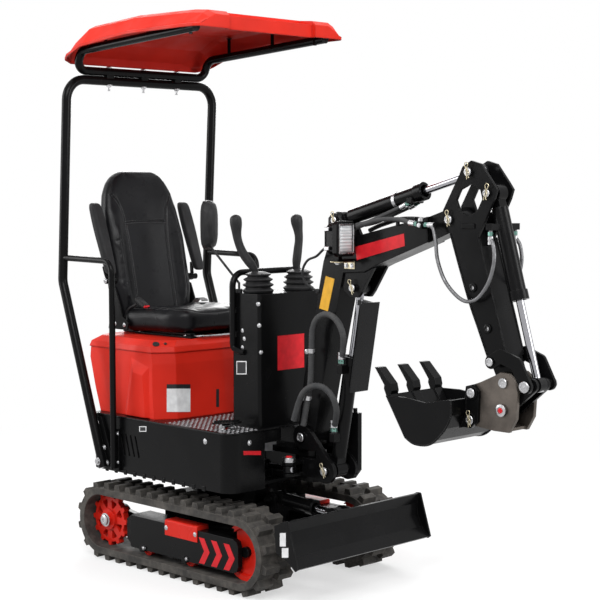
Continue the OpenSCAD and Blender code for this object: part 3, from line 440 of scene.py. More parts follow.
class Build:
    """Collects shapes of several materials into one mesh that rides on a body."""

    def __init__(self, name, body):
        self.name = name
        self.body = body
        self.bm = bmesh.new()
        self.mats = []

    def skin(self, rings, mat, closed=True):
        """Faces between rings of points, or between the rows of an open sheet."""
        if mat not in self.mats:
            self.mats.append(mat)
        rows = [[self.bm.verts.new(p) for p in ring] for ring in rings]
        n = len(rows[0])
        made = []
        for a, b in zip(rows, rows[1:]):
            for i in range(n if closed else n - 1):
                j = (i + 1) % n
                made.append(self.bm.faces.new((a[i], a[j], b[j], b[i])))
        if closed:
            made.append(self.bm.faces.new(rows[0][::-1]))
            made.append(self.bm.faces.new(rows[-1]))
        for face in made:
            face.material_index = self.mats.index(mat)
            face.smooth = True

    def lathe(self, at, axis, profile, mat, sides=24):
        """Turns a profile of radius and height about an axis."""
        z = Vector(axis).normalized()
        x = z.orthogonal().normalized()
        y = z.cross(x)
        angles = [2 * math.pi * i / sides for i in range(sides)]
        self.skin([[Vector(at) + z * h + (x * math.cos(t) + y * math.sin(t)) * r for t in angles]
                   for r, h in profile], mat)

    def sweep(self, points, radius, mat, sides=10):
        """A tube along points; radius is a number or a function of the length and the angle round it."""
        pts = [Vector(p) for p in points]
        way = [(pts[min(i + 1, len(pts) - 1)] - pts[max(i - 1, 0)]).normalized() for i in range(len(pts))]
        side = way[0].orthogonal().normalized()
        rings = []
        gone = 0.0
        for i, p in enumerate(pts):
            gone += (p - pts[i - 1]).length if i else 0.0
            side = (side - way[i] * side.dot(way[i])).normalized()
            up = way[i].cross(side)
            ring = []
            for k in range(sides):
                t = 2 * math.pi * k / sides
                r = radius(gone, t) if callable(radius) else radius
                ring.append(p + (side * math.cos(t) + up * math.sin(t)) * r)
            rings.append(ring)
        self.skin(rings, mat)

    def bolt(self, at, axis, r):
        """Hexagon head with a flange and a washer."""
        washer = [(1, -1), (r * 1.5, -1), (r * 1.5, 1.2), (r * 1.38, 1.9), (1, 1.9)]
        head = [(1, 1.5), (r, 1.5), (r, r * 0.72), (r * 0.84, r * 0.86), (1, r * 0.86)]
        self.lathe(at, axis, washer, ZINC, 20)
        self.lathe(at, axis, head, ZINC, 6)

    def dome(self, at, axis, r):
        """Button head with a socket, on a washer."""
        washer = [(1, -1), (r * 1.45, -1), (r * 1.45, 1.2), (r * 1.3, 1.8), (r, 1.8)]
        head = [(0.98, 0.35), (0.84, 0.58), (0.55, 0.72), (0.42, 0.72), (0.4, 0.3)]
        self.lathe(at, axis, [*washer, *((r * a, r * b) for a, b in head), (1, r * 0.3)], ZINC, 20)

    def block(self, center, size, mat, cut=2.0, turn=None):
        """A box with chamfered edges."""
        hx, hy, hz = (s / 2 for s in size)
        cut = min(cut, hx * 0.6, hy * 0.6, hz * 0.6)
        rows = []
        for z, d in ((-hz, cut), (-hz + cut, 0), (hz - cut, 0), (hz, cut)):
            x, y = hx - d, hy - d
            near = [(x, -y + cut, z), (x, y - cut, z), (x - cut, y, z), (-x + cut, y, z)]
            rows.append([*near, *((-a, -b, z) for a, b, _ in near)])
        turn = turn or Matrix.Identity(3)
        self.skin([[Vector(center) + turn @ Vector(p) for p in row] for row in rows], mat)

    def plate(self, outline, rise, mat):
        """A flat outline given a thickness."""
        low = [Vector(p) for p in outline]
        self.skin([low, [p + Vector(rise) for p in low]], mat)

    def patch(self, node, a, b, mat, lift=1.5, steps=24):
        """A thin film that follows a node's surface between two opposite pixel corners."""
        rows = []
        for i in range(steps + 1):
            v = a[1] + (b[1] - a[1]) * i / steps
            row = []
            for j in range(steps + 1):
                place, normal = seen(node, a[0] + (b[0] - a[0]) * j / steps, v)
                row.append(place + normal * lift)
            rows.append(row)
        self.skin(rows, mat, closed=False)

    def label(self, node, a, b, mat, lift=0.4, film=0.6):
        """A flat blank label on a node, between two opposite pixel corners."""
        place, normal = seen(node, (a[0] + b[0]) / 2, (a[1] + b[1]) / 2)
        start = CAM_POS * 1000
        outline = []
        for u, v in ((a[0], a[1]), (b[0], a[1]), (b[0], b[1]), (a[0], b[1])):
            ray = pixel_ray(u, v)
            far = (place - start).dot(normal) / ray.dot(normal)
            outline.append(start + ray * far + normal * (lift - film))
        self.plate(outline, normal * film, mat)

    def mirrored(self):
        """Adds the same shapes on the other side of the middle plane."""
        whole = [*self.bm.verts, *self.bm.edges, *self.bm.faces]
        made = bmesh.ops.duplicate(self.bm, geom=whole)["geom"]
        verts = [g for g in made if isinstance(g, bmesh.types.BMVert)]
        bmesh.ops.scale(self.bm, vec=(1, -1, 1), verts=verts)
        faces = [g for g in made if isinstance(g, bmesh.types.BMFace)]
        bmesh.ops.reverse_faces(self.bm, faces=faces)

    def done(self, blend=None, sharp=0.62, node=None, slot=None):
        """Makes the piece, on its body or, where blend is given, fixed in world place, in place of a node
        where one is named.
        """
        bmesh.ops.recalc_face_normals(self.bm, faces=self.bm.faces)
        for edge in self.bm.edges:
            if len(edge.link_faces) == 2 and edge.calc_face_angle() > sharp:
                edge.smooth = False
        bmesh.ops.scale(self.bm, vec=(0.001, 0.001, 0.001), verts=self.bm.verts)
        made = new_object(self.name, self.bm, self.mats)
        if blend:
            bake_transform(made)
        else:
            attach(made, self.body)
        if node:
            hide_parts(node)
        return made


# Seat

def swell(obj, voxel, cap, pressure=3.0):
    """Blows a closed cover up like a stuffed one, with each point's travel capped."""
    remesh = obj.modifiers.new("remesh", "REMESH")
    remesh.mode = "VOXEL"
    remesh.voxel_size = voxel
    settle(obj)
    rest = [v.co.copy() for v in obj.data.vertices]
    cloth = obj.modifiers.new("cloth", "CLOTH")
    cloth.settings.use_pressure = True
    cloth.settings.uniform_pressure_force = pressure
    cloth.settings.effector_weights.gravity = 0
    for step in range(1, 21):
        scene.frame_set(step)
    settle(obj)
    scene.frame_set(1)
    for v, home in zip(obj.data.vertices, rest):
        move = v.co - home
        if move.length > cap:
            v.co = home + move * (cap / move.length)


def settle(obj):
    """Applies a piece's modifiers and shades it smooth."""
    mats = list(obj.data.materials)
    graph = bpy.context.evaluated_depsgraph_get()
    graph.update()
    mesh = bpy.data.meshes.new_from_object(obj.evaluated_get(graph))
    obj.modifiers.clear()
    obj.data = mesh
    mesh.materials.clear()
    for mat in mats:
        mesh.materials.append(mat)
    for polygon in mesh.polygons:
        polygon.use_smooth = True


def finer(obj):
    sub = obj.modifiers.new("subdivide", "SUBSURF")
    sub.levels = sub.render_levels = 1
    settle(obj)


def cushion_form(name, mat, shape, cells):
    """A closed grid of the unit cube's faces, sent through a shaping function."""
    bm = bmesh.new()
    bmesh.ops.create_cube(bm, size=2)
    bmesh.ops.subdivide_edges(bm, edges=bm.edges[:], cuts=cells, use_grid_fill=True)
    for v in bm.verts:
        v.co = Vector(shape(*v.co)) / 1000
    bmesh.ops.recalc_face_normals(bm, faces=bm.faces)
    return new_object(name, bm, [mat])


def rounded_box(p, half, r):
    """A point of the unit cube's surface moved onto a box with round edges."""
    q = Vector([a * h for a, h in zip(p, half)])
    core = Vector([max(-h + r, min(h - r, a)) for a, h in zip(q, half)])
    return core + (q - core).normalized() * r if (q - core).length > 1e-6 else q


def bell(x, at, width):
    return math.exp(-((x - at) / width) ** 2)


def table(x, *stops):
    """Straight steps between pairs of place and value."""
    for (a, va), (b, vb) in zip(stops, stops[1:]):
        if x <= b:
            return va + (vb - va) * max(0.0, (x - a) / (b - a))
    return stops[-1][1]


BACK_FOOT = Vector((-549, 0, 1014))
BACK_UP = Vector((-147, 0, 716)).normalized()
BACK_FRONT = Vector((BACK_UP.z, 0, -BACK_UP.x))
BACK_HIGH = 722.0


def back_half(up):
    return table(up, (0, 190), (0.12, 214), (0.25, 226), (0.55, 226), (0.74, 214), (0.86, 194), (0.94, 162),
                 (0.98, 128), (1, 104))


def back_shape(x, y, z):
    half = (36, 200, BACK_HIGH / 2)
    p = rounded_box((x, y, z), half, 33)
    up = max(0.0, min(1.0, p.z / BACK_HIGH + 0.5))
    across = p.y / half[1]
    deep = p.x * table(up, (0, 0.9), (0.6, 0.95), (1, 0.66)) * (1.0 if x > 0 else 1.6)
    if x > 0:
        bolster = table(up, (0, 0.2), (0.2, 1), (0.55, 0.9), (0.8, 0.15), (1, 0))
        bolster *= bell(abs(across), 0.80, 0.17)
        hollow = table(up, (0, 0), (0.2, 0.6), (0.6, 1), (0.8, 0.3), (1, 0)) * bell(across, 0, 0.42)
        deep += 30 * bolster - 14 * hollow + 9 * bell(up, 0.86, 0.09) * bell(across, 0, 0.6)
    beside = Vector((0, across * back_half(up), 0))
    return BACK_FOOT + BACK_UP * (up * BACK_HIGH) + BACK_FRONT * deep + beside


def cushion_shape(x, y, z):
    half = (202, 216, 44)
    p = rounded_box((x, y, z), half, 30)
    along, across = p.x / half[0], p.y / half[1]
    front = max(0.0, (along - 0.35) / 0.65)
    wide = p.y * (1 - 0.27 * front ** 2.4)
    high = p.z
    if z > 0:
        high += 13 * (1 - along ** 2) * (1 - across ** 2)
        high += 12 * bell(abs(across), 0.78, 0.16) * (1 - front ** 2)
        high -= 7 * bell(across, 0, 0.45) * bell(along, -0.3, 0.5)
    return Vector((-318 + p.x, wide, 1053 + high + 7 * along))


def arm_shape(side):
    """Shape of the raised armrest pad on one side."""
    def shape(x, y, z):
        half = (23, 29, 160)
        p = rounded_box((x, y, z), half, 20)
        up = p.z / half[2]
        wide = 262 + p.y * (0.86 + 0.22 * bell(up, 0.35, 0.7))
        return -592 - 60 * (up + 0.08) + p.x * (1 + 0.18 * (1 - up * up)), side * wide, 1415 + p.z
    return shape


def groove(obj, paths, flatten, depth, facing, width=5.0):
    """Draws a cover in along seams, which are given as points in the flattened plane."""
    runs = [[Vector(p) for p in line([(*q, 0) for q in path], 5)] for path in paths]
    normals = [v.normal.copy() for v in obj.data.vertices]
    for v, normal in zip(obj.data.vertices, normals):
        if normal.dot(facing) < 0.15:
            continue
        a, b = flatten(v.co * 1000)
        flat_point = Vector((a, b, 0))
        near = min((flat_point - q).length_squared for run in runs for q in run)
        if near < (3 * width) ** 2:
            v.co -= normal * (depth / 1000 * math.exp(-near / width ** 2))


def stitches(build, obj, path, ray, spread=6.0, lift=0.4):
    """Short threads along both sides of a seam, laid on the finished cover."""
    points = line(path, 9)
    for a, b in zip(points, points[1:]):
        way = (b - a).normalized()
        beside = way.cross(Vector(ray)).normalized()
        for s in (-spread, spread):
            ends = []
            for t in (0.12, 0.72):
                start = a.lerp(b, t) + beside * s - Vector(ray) * 120
                found, place, normal, _ = obj.ray_cast(start / 1000, Vector(ray))
                if found:
                    ends.append(place * 1000 + normal * lift)
            if len(ends) == 2:
                build.sweep([ends[0], ends[0].lerp(ends[1], 0.5) + normal * 0.5, ends[1]], 0.9, THREAD, 5)


def as_pad(obj, node):
    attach(obj, "house")
    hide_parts(node)


def add_seat():
    cushion = cushion_form("seat_cushion_cover", VINYL, cushion_shape, 22)
    swell(cushion, 0.007, 0.005)
    back = cushion_form("seat_back_cover", VINYL, back_shape, 26)
    swell(back, 0.0075, 0.003)
    finer(cushion)
    finer(back)

    def back_plane(p):
        return p.y, (p - BACK_FOOT).dot(BACK_UP)

    sides = [[(s * 112, 60), (s * 112, 200), (s * 114, 360), (s * 122, 470), (s * 138, 545), (s * 172, 606)]
             for s in (-1, 1)]
    across = [(-122, 474), (-60, 478), (0, 479), (60, 478), (122, 474)]
    groove(back, [*sides, across], back_plane, 6.5, BACK_FRONT)
    rim = [(-505, -176), (-330, -180), (-190, -172), (-142, -120), (-130, 0)]
    rim += [(x, -y) for x, y in rim[-2::-1]]
    groove(cushion, [rim], lambda p: (p.x, p.y), 5.0, Vector(UP))
    as_pad(cushion, "seat_cushion")
    as_pad(back, "seat_back")
    bpy.context.view_layer.update()
    sewn = Build("seat_stitching", "house")
    for seam in (*sides, across):
        path = [BACK_FOOT + BACK_UP * b + Vector((0, a, 0)) + BACK_FRONT * 40 for a, b in seam]
        stitches(sewn, back, path, -BACK_FRONT)
    stitches(sewn, cushion, [(a, b, 1110) for a, b in rim], (0, 0, -1))
    sewn.done()
    for s, node in ((1, "armrest_left"), (-1, "armrest_right")):
        rest = cushion_form(node + "_pad", PAD, arm_shape(s), 14)
        finer(rest)
        as_pad(rest, node)
    trim = Build("seat_frame", "house")
    # Armrest pivot with its stop bracket
    pivot = [(2, 0), (17, 0), (17, 30), (14, 33), (14, 56), (10, 58), (2, 58)]
    trim.lathe((-570, -214, 1225), OUT, pivot, BLACK)
    trim.dome((-570, -271, 1225), OUT, 8)
    trim.sweep(curve([(-570, -250, 1225), (-582, -256, 1250), (-590, -262, 1290)], 4), 9, BLACK)
    # Recliner plate at the seat's side
    side = [(-604, 1006), (-470, 1006), (-462, 1040), (-505, 1066), (-528, 1130), (-556, 1196),
            (-584, 1204), (-600, 1180), (-586, 1110)]
    trim.plate([(x, -222, z) for x, z in side], (0, -7, 0), BLACK)
    for x, z in ((-570, 1184), (-556, 1030), (-490, 1028), (-566, 1110)):
        trim.dome((x, -229, z), OUT, 6.5)
    # Slide rails on the hood's lid
    trim.block((-320, -128, 990), (390, 46, 10), BLACK, 2)
    trim.block((-320, -128, 1002), (360, 30, 14), BLACK, 3)
    for x in (-480, -170):
        trim.bolt((x, -144, 995), UP, 5)
    trim.mirrored()
    bar = [(-160, -120, 996), (-118, -112, 994), (-108, -60, 993)]
    trim.sweep(curve([*bar, *((x, -y, z) for x, y, z in bar[::-1])], 6), 5, ZINC)
    trim.block((-560, 0, 1003), (80, 300, 34), BLACK, 4)
    # Buckle on its stalk, and the belt's reel and webbing
    tilt = Matrix.Rotation(0.5, 3, "Y")
    trim.sweep(curve([(-520, -196, 1060), (-500, -196, 1096), (-452, -186, 1122)], 6), 6, PLASTIC)
    trim.block((-424, -180, 1130), (74, 36, 18), PLASTIC, 5, tilt)
    trim.block((-391, -180, 1113), (10, 30, 13), RED_FILM, 3, tilt)
    strap = [(-522, 206, 1052), (-505, 206, 1100), (-462, 196, 1128), (-400, 170, 1126), (-372, 150, 1121)]
    across = [Vector((0, y, z)) for y, z in ((-20, 0), (20, 0), (20, 2.4), (-20, 2.4))]
    trim.skin([[p + q for q in across] for p in curve(strap, 6)], BELT)
    trim.block((-536, 208, 1040), (62, 44, 62), PLASTIC, 10)
    trim.done()


# Hoses, their routes the same as in the part's source

UPPER_HOSE = [(512, -98, 668), (534, -98, 768), (554, -98, 860), (560, -98, 1000), (566, -98, 1070),
              (594, -98, 1116), (644, -94, 1134), (692, -90, 1112), (718, -82, 1060), (706, -66, 1000),
              (691, -58, 960), (690, -58, 930)]
LOWER_HOSE = [(488, -130, 690), (518, -130, 768), (550, -130, 816), (598, -124, 842), (644, -112, 836),
              (678, -98, 800), (684, -82, 750), (660, -62, 700), (643, -52, 674), (642, -52, 646)]
TIP_HOSE = [(1130.5, -74, 1501), (1141, -74, 1501), (1152, -74, 1501), (1180, -78, 1488), (1196, -82, 1440),
            (1208, -84, 1370), (1244, -86, 1296), (1300, -86, 1242), (1352, -86, 1222), (1404, -86, 1240),
            (1450, -86, 1298), (1472, -84, 1370), (1466, -80, 1430), (1448, -74, 1460), (1448, -74, 1473),
            (1448, -74, 1486)]


def wound(r, pitch, depth):
    """Radius of a sleeve with a spiral rib."""
    return lambda gone, t: r * (1 + depth * math.cos(2 * math.pi * gone / pitch + t))


def hose_end(build, route, r, back=False):
    """Crimped ferrule and union nut over the end of a hose."""
    pts = line(route, 4)
    if back:
        pts = pts[::-1]
    end, axis = pts[-1], (pts[-1] - pts[-4]).normalized()
    crimp = [(0, 0), (2.6, 1), (2.6, 12), (1.6, 13), (1.6, 16), (2.6, 17), (2.6, 30), (0, 31)]
    build.lathe(end - axis * 52, axis, [(r + a, b) for a, b in crimp], ZINC)
    nut = [(r * 0.8, 0), (r + 1.5, 0.6), (r + 1.5, 15), (r * 0.8, 16)]
    build.lathe(end - axis * 20, axis, nut, GREEN, 6)


def clamp(build, at, axis, r, out):
    """Band clamp round a hose, with its bolt."""
    low = Vector(at) - Vector(axis).normalized() * 9
    build.lathe(low, axis, [(r, 0), (r + 2.2, 0), (r + 2.2, 18), (r, 18)], ZINC)
    foot = Vector(at) + Vector(out).normalized() * (r + 11)
    build.block(foot, (16, 12, 22), ZINC, 3)
    build.dome(foot + Vector(OUT) * 6, OUT, 7)


def add_hose(name, route, step, rib, mat, sides, node, bodies, at):
    """A hose swept along its own centreline, in place of a node; gives back its fittings' build."""
    sleeve = Build(name, bodies)
    sleeve.sweep(line(route, step), wound(*rib), mat, sides)
    made = sleeve.done(at, 2.0, node, "hose_rubber")
    path = [p / 1000 for p in line(route, 4)]
    return Build(name + "_fittings", bodies)


def add_hoses():
    spans = (("upper", UPPER_HOSE, 0.672, 0.575), ("lower", LOWER_HOSE, 0.628, 0.545))
    for name, route, front, rear in spans:
        at = ((front, 0, 0.8), (rear, 0, 0.8))
        ends = add_hose(f"boom_hose_{name}", route, 2.2, (12.6, 11.0, 0.045), SLEEVE, 14,
                        "boom_hoses", ("boom_barrel", "swing_post"), at)
        hose_end(ends, route, 13)
        if name == "upper":
            clamp(ends, (559.5, -98, 980), (0.03, 0, 1), 13.2, (-1, 0, -0.2))
            clamp(ends, (538, -98, 786), (0.2, 0, 1), 13.2, (-1, 0, -0.2))
        ends.done(at)
    at = ((1.440, 0, 1.4), (1.165, 0, 1.4))
    for s, name in ((1, "right"), (-1, "left")):
        route = [(x, y * s, z) for x, y, z in TIP_HOSE]
        ends = add_hose(f"tip_hose_{name}", route, 1.6, (7.2, 5.0, 0.06), BRAID, 12, "tip_hoses",
                        ("arm", "boom"), at)
        hose_end(ends, route, 8)
        hose_end(ends, route, 8, True)
        ends.done(at)
    # Feed pipes on the boom's side and top, with their unions
    feed = Build("boom_pipes", "boom")
    pipe = [(735, -58, 1470), (800, -59, 1494), (900, -60, 1518), (1000, -62, 1519), (1060, -68, 1508),
            (1106, -74, 1502)]
    feed.sweep(line(pipe, 5), 9, SLEEVE, 12)
    hose_end(feed, pipe, 9)
    feed.block((985, -56, 1512), (14, 12, 34), BLACK, 2)
    feed.lathe((1117, -74, 1515), UP, [(1, 0), (11, 0), (11, 12), (8, 14), (1, 14)], ZINC, 6)
    feed.bolt((1117, -87, 1500), OUT, 6)
    feed.mirrored()
    # Cable of the work lamp
    cable = [(694, -124, 1420), (640, -112, 1396), (574, -84, 1366), (518, -76, 1348), (490, -75, 1316),
             (486, -75, 1284), (507, -70, 1246), (548, -56, 1222)]
    feed.sweep(line(cable, 5), 5.2, PLASTIC, 10)
    feed.lathe((548, -50, 1220), OUT, [(1, 0), (11, 0), (11, 5), (7, 9), (1, 9)], PLASTIC)
    feed.done()
    barrel = Build("arm_cylinder_ports", "arm_barrel")
    foot, eye = (Vector(p) for p in RODS["arm_rod"][:2])
    way = (eye - foot).normalized()
    under = Vector((way.z, 0, -way.x))
    port = foot + way * 392 + under * 22 + Vector(OUT) * 26
    barrel.block(port, (30, 22, 24), BLACK, 3)
    run = [port - way * a + under * b for a, b in ((4, 6), (40, 11), (120, 18), (230, 26), (300, 22))]
    barrel.sweep(line(run, 4), wound(8.5, 9.0, 0.05), SLEEVE, 12)
    hose_end(barrel, run, 8.5, True)
    barrel.mirrored()
    barrel.lathe(foot + way * 300, way, [(31, 0), (33.5, 0), (33.5, 14), (31, 14)], ZINC)
    barrel.done()


# Pins with caps and spring clips

# On each body: X and Z, half spread, radius, and whether a clip shows
PINS = {
    "arm": ((1240, 1523, 63, 17, True), (1332, 1700, 65, 16, True), (1418, 1622, 63, 15, True),
            (1457, 1005, 87, 16, False)),
    "blade": ((600, 300, 54, 14, False),),
    "boom": ((640, 1512, 52, 14, True), (745, 1243, 58, 15, True)),
    "bucket": ((1503, 930, 66.5, 19, False), (1371, 883, 86, 18, False), (1365, 782, 86, 18, True)),
    "guide_links": ((1613, 927, 87, 21, False),),
    "swing_post": ((480, 613, 85, 19, False), (612, 487, 83, 18, True)),
    "undercarriage": ((430, 205, 155, 18, False),),
}
CLIP = ((-2, -27), (-2, -8), (-2, 8), (-5, 18), (-9, 27), (-4, 35), (4, 34), (7, 27), (3, 17), (3, 6),
        (8, -4), (5, -15), (9, -23))


def add_pins():
    for body, pins in PINS.items():
        build = Build(f"{body}_pins", body)
        for x, z, y, r, clip in pins:
            cap = [(1, -3), (r, -3), (r, 2), (r - 2, 4), (r * 0.62, 4), (r * 0.58, 2.4), (r * 0.2, 2.4),
                   (r * 0.16, 3.4), (1, 3.4)]
            build.lathe((x, -y, z), OUT, cap, ZINC)
            if clip:
                turn = Matrix.Rotation(0.35 * math.sin(x * 0.7 + z), 3, "Y")
                path = [Vector((x, -y - 4.6, z)) + turn @ Vector((a, 0, b)) for a, b in CLIP]
                build.sweep(curve(path, 5), 1.7, GOLD, 7)
        if body == "bucket":
            rim = [(1, -2), (23, -2), (23, 3), (20, 5), (13, 5), (12, 2), (1, 2)]
            build.lathe((1498, -70, 829), OUT, rim, ZINC)
            build.lathe((1498, -71, 829), OUT, [(1, 0), (10, 0), (10, 3), (7, 4), (1, 4)], RED_FILM)
        build.mirrored()
        if body == "bucket":
            build.bolt((1452, 0, 752), (0, 0, -1), 11)
        build.done()


# Digging arm: blank plates, weld beads, lamp

def bead(build, path, y, r):
    """A weld bead along a side plane's path, rippled along its length."""
    points = line([(x, y, z) for x, z in path], 2.0)
    build.sweep(points, lambda gone, t: r * (1 + 0.16 * math.sin(gone * 1.9 + math.cos(t))), BLACK, 8)


def add_arm_trim():
    boom = Build("boom_trim", "boom")
    for mat, plate in ((RED_FILM, ((756, 1407), (1013, 1466), (1018, 1418), (767, 1355))),
                       (YELLOW, ((596, 1285), (645, 1275), (608, 1142), (559, 1151)))):
        boom.plate([(x, -52, z) for x, z in plate], OUT, mat)
    bead(boom, ((1128, 1530), (1130, 1480), (1130, 1438)), -50, 4)
    bead(boom, ((690, 1304), (745, 1308), (806, 1312)), -46, 4.5)
    bead(boom, ((604, 1392), (640, 1424), (716, 1441)), -46, 4.5)
    boom.mirrored()
    # Work lamp: ribbed lens in its bezel, bracket plate and bolts
    def on_lamp(x, wide, high):
        return x, -124 + wide * 41, 1442 + high * 57

    lens = []
    for high in (i / 12 - 1 for i in range(25)):
        row = []
        for wide in (j / 8 - 1 for j in range(17)):
            full = (1 - abs(wide) ** 5) * (1 - abs(high) ** 5)
            rib = 1.1 * math.sin(high * math.pi * 8)
            row.append(on_lamp(769 + full * (10 + rib), wide, high))
        lens.append(row)
    boom.skin(lens, LENS, closed=False)
    bezel = [on_lamp(776, *corner) for corner in ((-1, -1), (-1, 1), (1, 1), (1, -1))]
    for a, b in zip(bezel, [*bezel[1:], bezel[0]]):
        boom.sweep([a, b], 3.2, ZINC, 8)
    boom.block((729, -96, 1349), (56, 88, 5), GOLD, 1.5)
    boom.block((729, -54, 1335), (56, 5, 34), GOLD, 1.5)
    boom.bolt((729, -124, 1345), (0, 0, -1), 9)
    boom.bolt((714, -57, 1332), OUT, 7)
    boom.bolt((744, -57, 1332), OUT, 7)
    for z in (1404, 1480):
        boom.block((722, -180, z), (26, 8, 16), ZINC, 3)
    boom.done()
    arm = Build("arm_trim", "arm")
    bead(arm, ((1246, 1470), (1290, 1345), (1338, 1216), (1380, 1122), (1424, 1022)), -54, 4.6)
    bead(arm, ((1378, 1456), (1402, 1374), (1430, 1287), (1470, 1158), (1502, 1050)), -54, 3.6)
    for x, z in ((1354, 1272), (1425, 1124)):
        arm.lathe((x, -53, z), OUT, [(9, 0), (17, 0), (17, 8), (14, 10), (9.5, 10), (9, 1)], BLACK)
        arm.lathe((x, -53.6, z), OUT, [(1, 0), (9.2, 0), (9.2, 2), (1, 2)], ZINC)
    arm.block((1330, -57, 1500), (64, 5, 20), BLACK, 2)
    arm.mirrored()
    arm.done()
    bucket = Build("bucket_trim", "bucket")
    low = ((1118, 699), (1154, 680), (1194, 676), (1234, 682), (1268, 702), (1316, 752), (1340, 802),
           (1342, 856))
    bead(bucket, low, -164, 4)
    bead(bucket, ((1024, 848), (1072, 772), (1118, 699)), -162, 4.5)
    for x, z in ((1371, 883), (1365, 782)):
        bucket.lathe((x, -76, z), OUT, [(18, 0), (25, 0), (25, 5), (18, 5)], BLACK)
    bucket.mirrored()
    # Two bolts through the shank of each tooth
    through = Vector((0.83, 0, 0.55))
    for y in (-132, 0, 132):
        for x, z in ((1040, 826), (1064, 790)):
            bucket.dome((x, y, z), through, 9)
            bucket.bolt(Vector((x, y, z + 1)) - through * 20, -through, 7)
    bucket.done()


# House, console, roof and undercarriage trim

def bolts_at(build, node, pixels, r):
    """Button heads where the photograph shows them on a node."""
    for u, v in pixels:
        build.dome(*seen(node, u, v), r)


def add_deck():
    deck = Build("deck_plate", "house")
    lozenge = [(9.5, 0), (3, 2.7), (-3, 2.7), (-9.5, 0), (-3, -2.7), (3, -2.7)]
    pitch = 13
    for row, x in enumerate(range(-30, 385, pitch)):
        odd = row % 2
        turn = Matrix.Rotation(0.62 if odd else -0.62, 3, "Z")
        for y in range(-380 + pitch * odd, 384, 2 * pitch):
            under_console = 168 < x < 378 and abs(y) < 222
            notch = x > 352 and abs(y) < 140
            if under_console or notch:
                continue
            mid = Vector((x, y, 649.5))
            low = [mid + turn @ Vector((a, b, 0)) for a, b in lozenge]
            deck.skin([low, [mid.lerp(p, 0.62) + Vector((0, 0, 1.9)) for p in low]], WORN)
    # Rolled edge round the deck
    rim = [(388, 128), (398, 150), (398, 345), (380, 389), (340, 403), (100, 403), (-200, 403), (-460, 403)]
    for s in (1, -1):
        deck.sweep(line([(a, s * b, 649) for a, b in rim], 9), 4.5, BLACK, 10)
    deck.done()
    pedal = Build("swing_pedal", "house")
    pedal.block((262, -296, 674), (128, 56, 7), BLACK, 2, Matrix.Rotation(-0.12, 3, "Y"))
    for i in range(7):
        pedal.block((212 + 17 * i, -296, 674.5 + 2.0 * i), (5, 50, 8), BLACK, 1.5)
    pedal.lathe((262, -262, 662), OUT, [(2, 0), (8, 0), (8, 68), (2, 68)], ZINC)
    for lug, bolt in ((270, 260), (322, 332)):
        pedal.block((262, -lug, 657), (34, 8, 16), ZINC, 2)
        pedal.bolt((276, -bolt, 651), UP, 5)
    pedal.mirrored()
    pedal.done()


def add_console():
    front = Build("console_trim", "house")
    loop_bolts = [(229.2, 303.3), (229.2, 320.7), (242.5, 330.7), (244.4, 338.8), (242.5, 347.5)]
    bolts_at(front, "console", loop_bolts, 6)
    front.mirrored()
    bolts_at(front, "console", [(258.3, 304.1), (259.2, 325.5), (261, 352.3)], 6)
    front.label("console", (236.5, 361), (246.6, 374.4), WHITE)
    front.label("console", (237.3, 362), (245.8, 373.4), DARK_FILM, 0.8)
    x = seen("console", 280, 335)[0].x + 1.2
    film = [[(x, y, z) for y in (-96, -40, 20, 62)] for z in (882, 940, 990, 1027)]
    front.skin(film, RED_FILM, closed=False)
    front.done()


def add_house_trim():
    trim = Build("house_trim", "house")
    bolts_at(trim, "house_frame", [(205.2, 441.5), (249.6, 442.8)], 8)
    # Skirt tabs
    for i in range(11):
        trim.block((-400 + 64 * i, -405, 411), (20, 6, 22), BLACK, 2)
    trim.mirrored()
    trim.label("house_frame", (261, 435.4), (276.4, 450.8), WHITE)
    trim.label("house_frame", (243.5, 451), (261, 455), RED_FILM)
    trim.label("house_frame", (139.3, 426.3), (146.4, 431.7), WHITE)
    trim.label("house_frame", (140.1, 427.1), (145.6, 430.9), DARK_FILM, 0.8)
    # Nuts and heads through the hoop's top bar
    for y in (-200, 0, 200):
        trim.bolt((-620, y, 2106), (0, 0, -1), 11)
        trim.lathe((-620, y, 2096), (0, 0, -1), [(1, 0), (6, 0), (6, 15), (5, 17), (1, 17)], ZINC)
    trim.done()
    hood = Build("hood_trim", "house")
    for top, low, mat in ((384.2, 388.6, DARK_FILM), (388.6, 411.9, WHITE)):
        hood.patch("hood", (166.7, top), (190.2, low), mat)
    for (u, v), r in (((156, 344.4), 15), ((165.4, 344), 7)):
        place, normal = seen("hood", u, v)
        cap = [(1, -1), (r, -1), (r, 2.5), (r * 0.8, 4), (r * 0.3, 4), (r * 0.24, 1.5), (1, 1.5)]
        hood.lathe(place, normal, cap, PLASTIC)
    hood.label("hood", (216.1, 389), (219.1, 407), DARK_FILM)
    hood.done()
    # Mirror glass, a square grid drawn in to a rounded one
    glass = Build("mirror_glass", "house")
    turn = Matrix.Rotation(math.radians(20), 3, "Z")

    def on_glass(wide, high):
        a = wide * math.sqrt(1 - 0.42 * high * high)
        b = high * math.sqrt(1 - 0.42 * wide * wide)
        return Vector((36, -205, 1486)) + turn @ Vector((-1.2, a * 45, b * 96))

    grid = [i / 6 - 1 for i in range(13)]
    glass.skin([[on_glass(wide, high) for wide in grid] for high in grid], MIRROR, closed=False)
    glass.done()


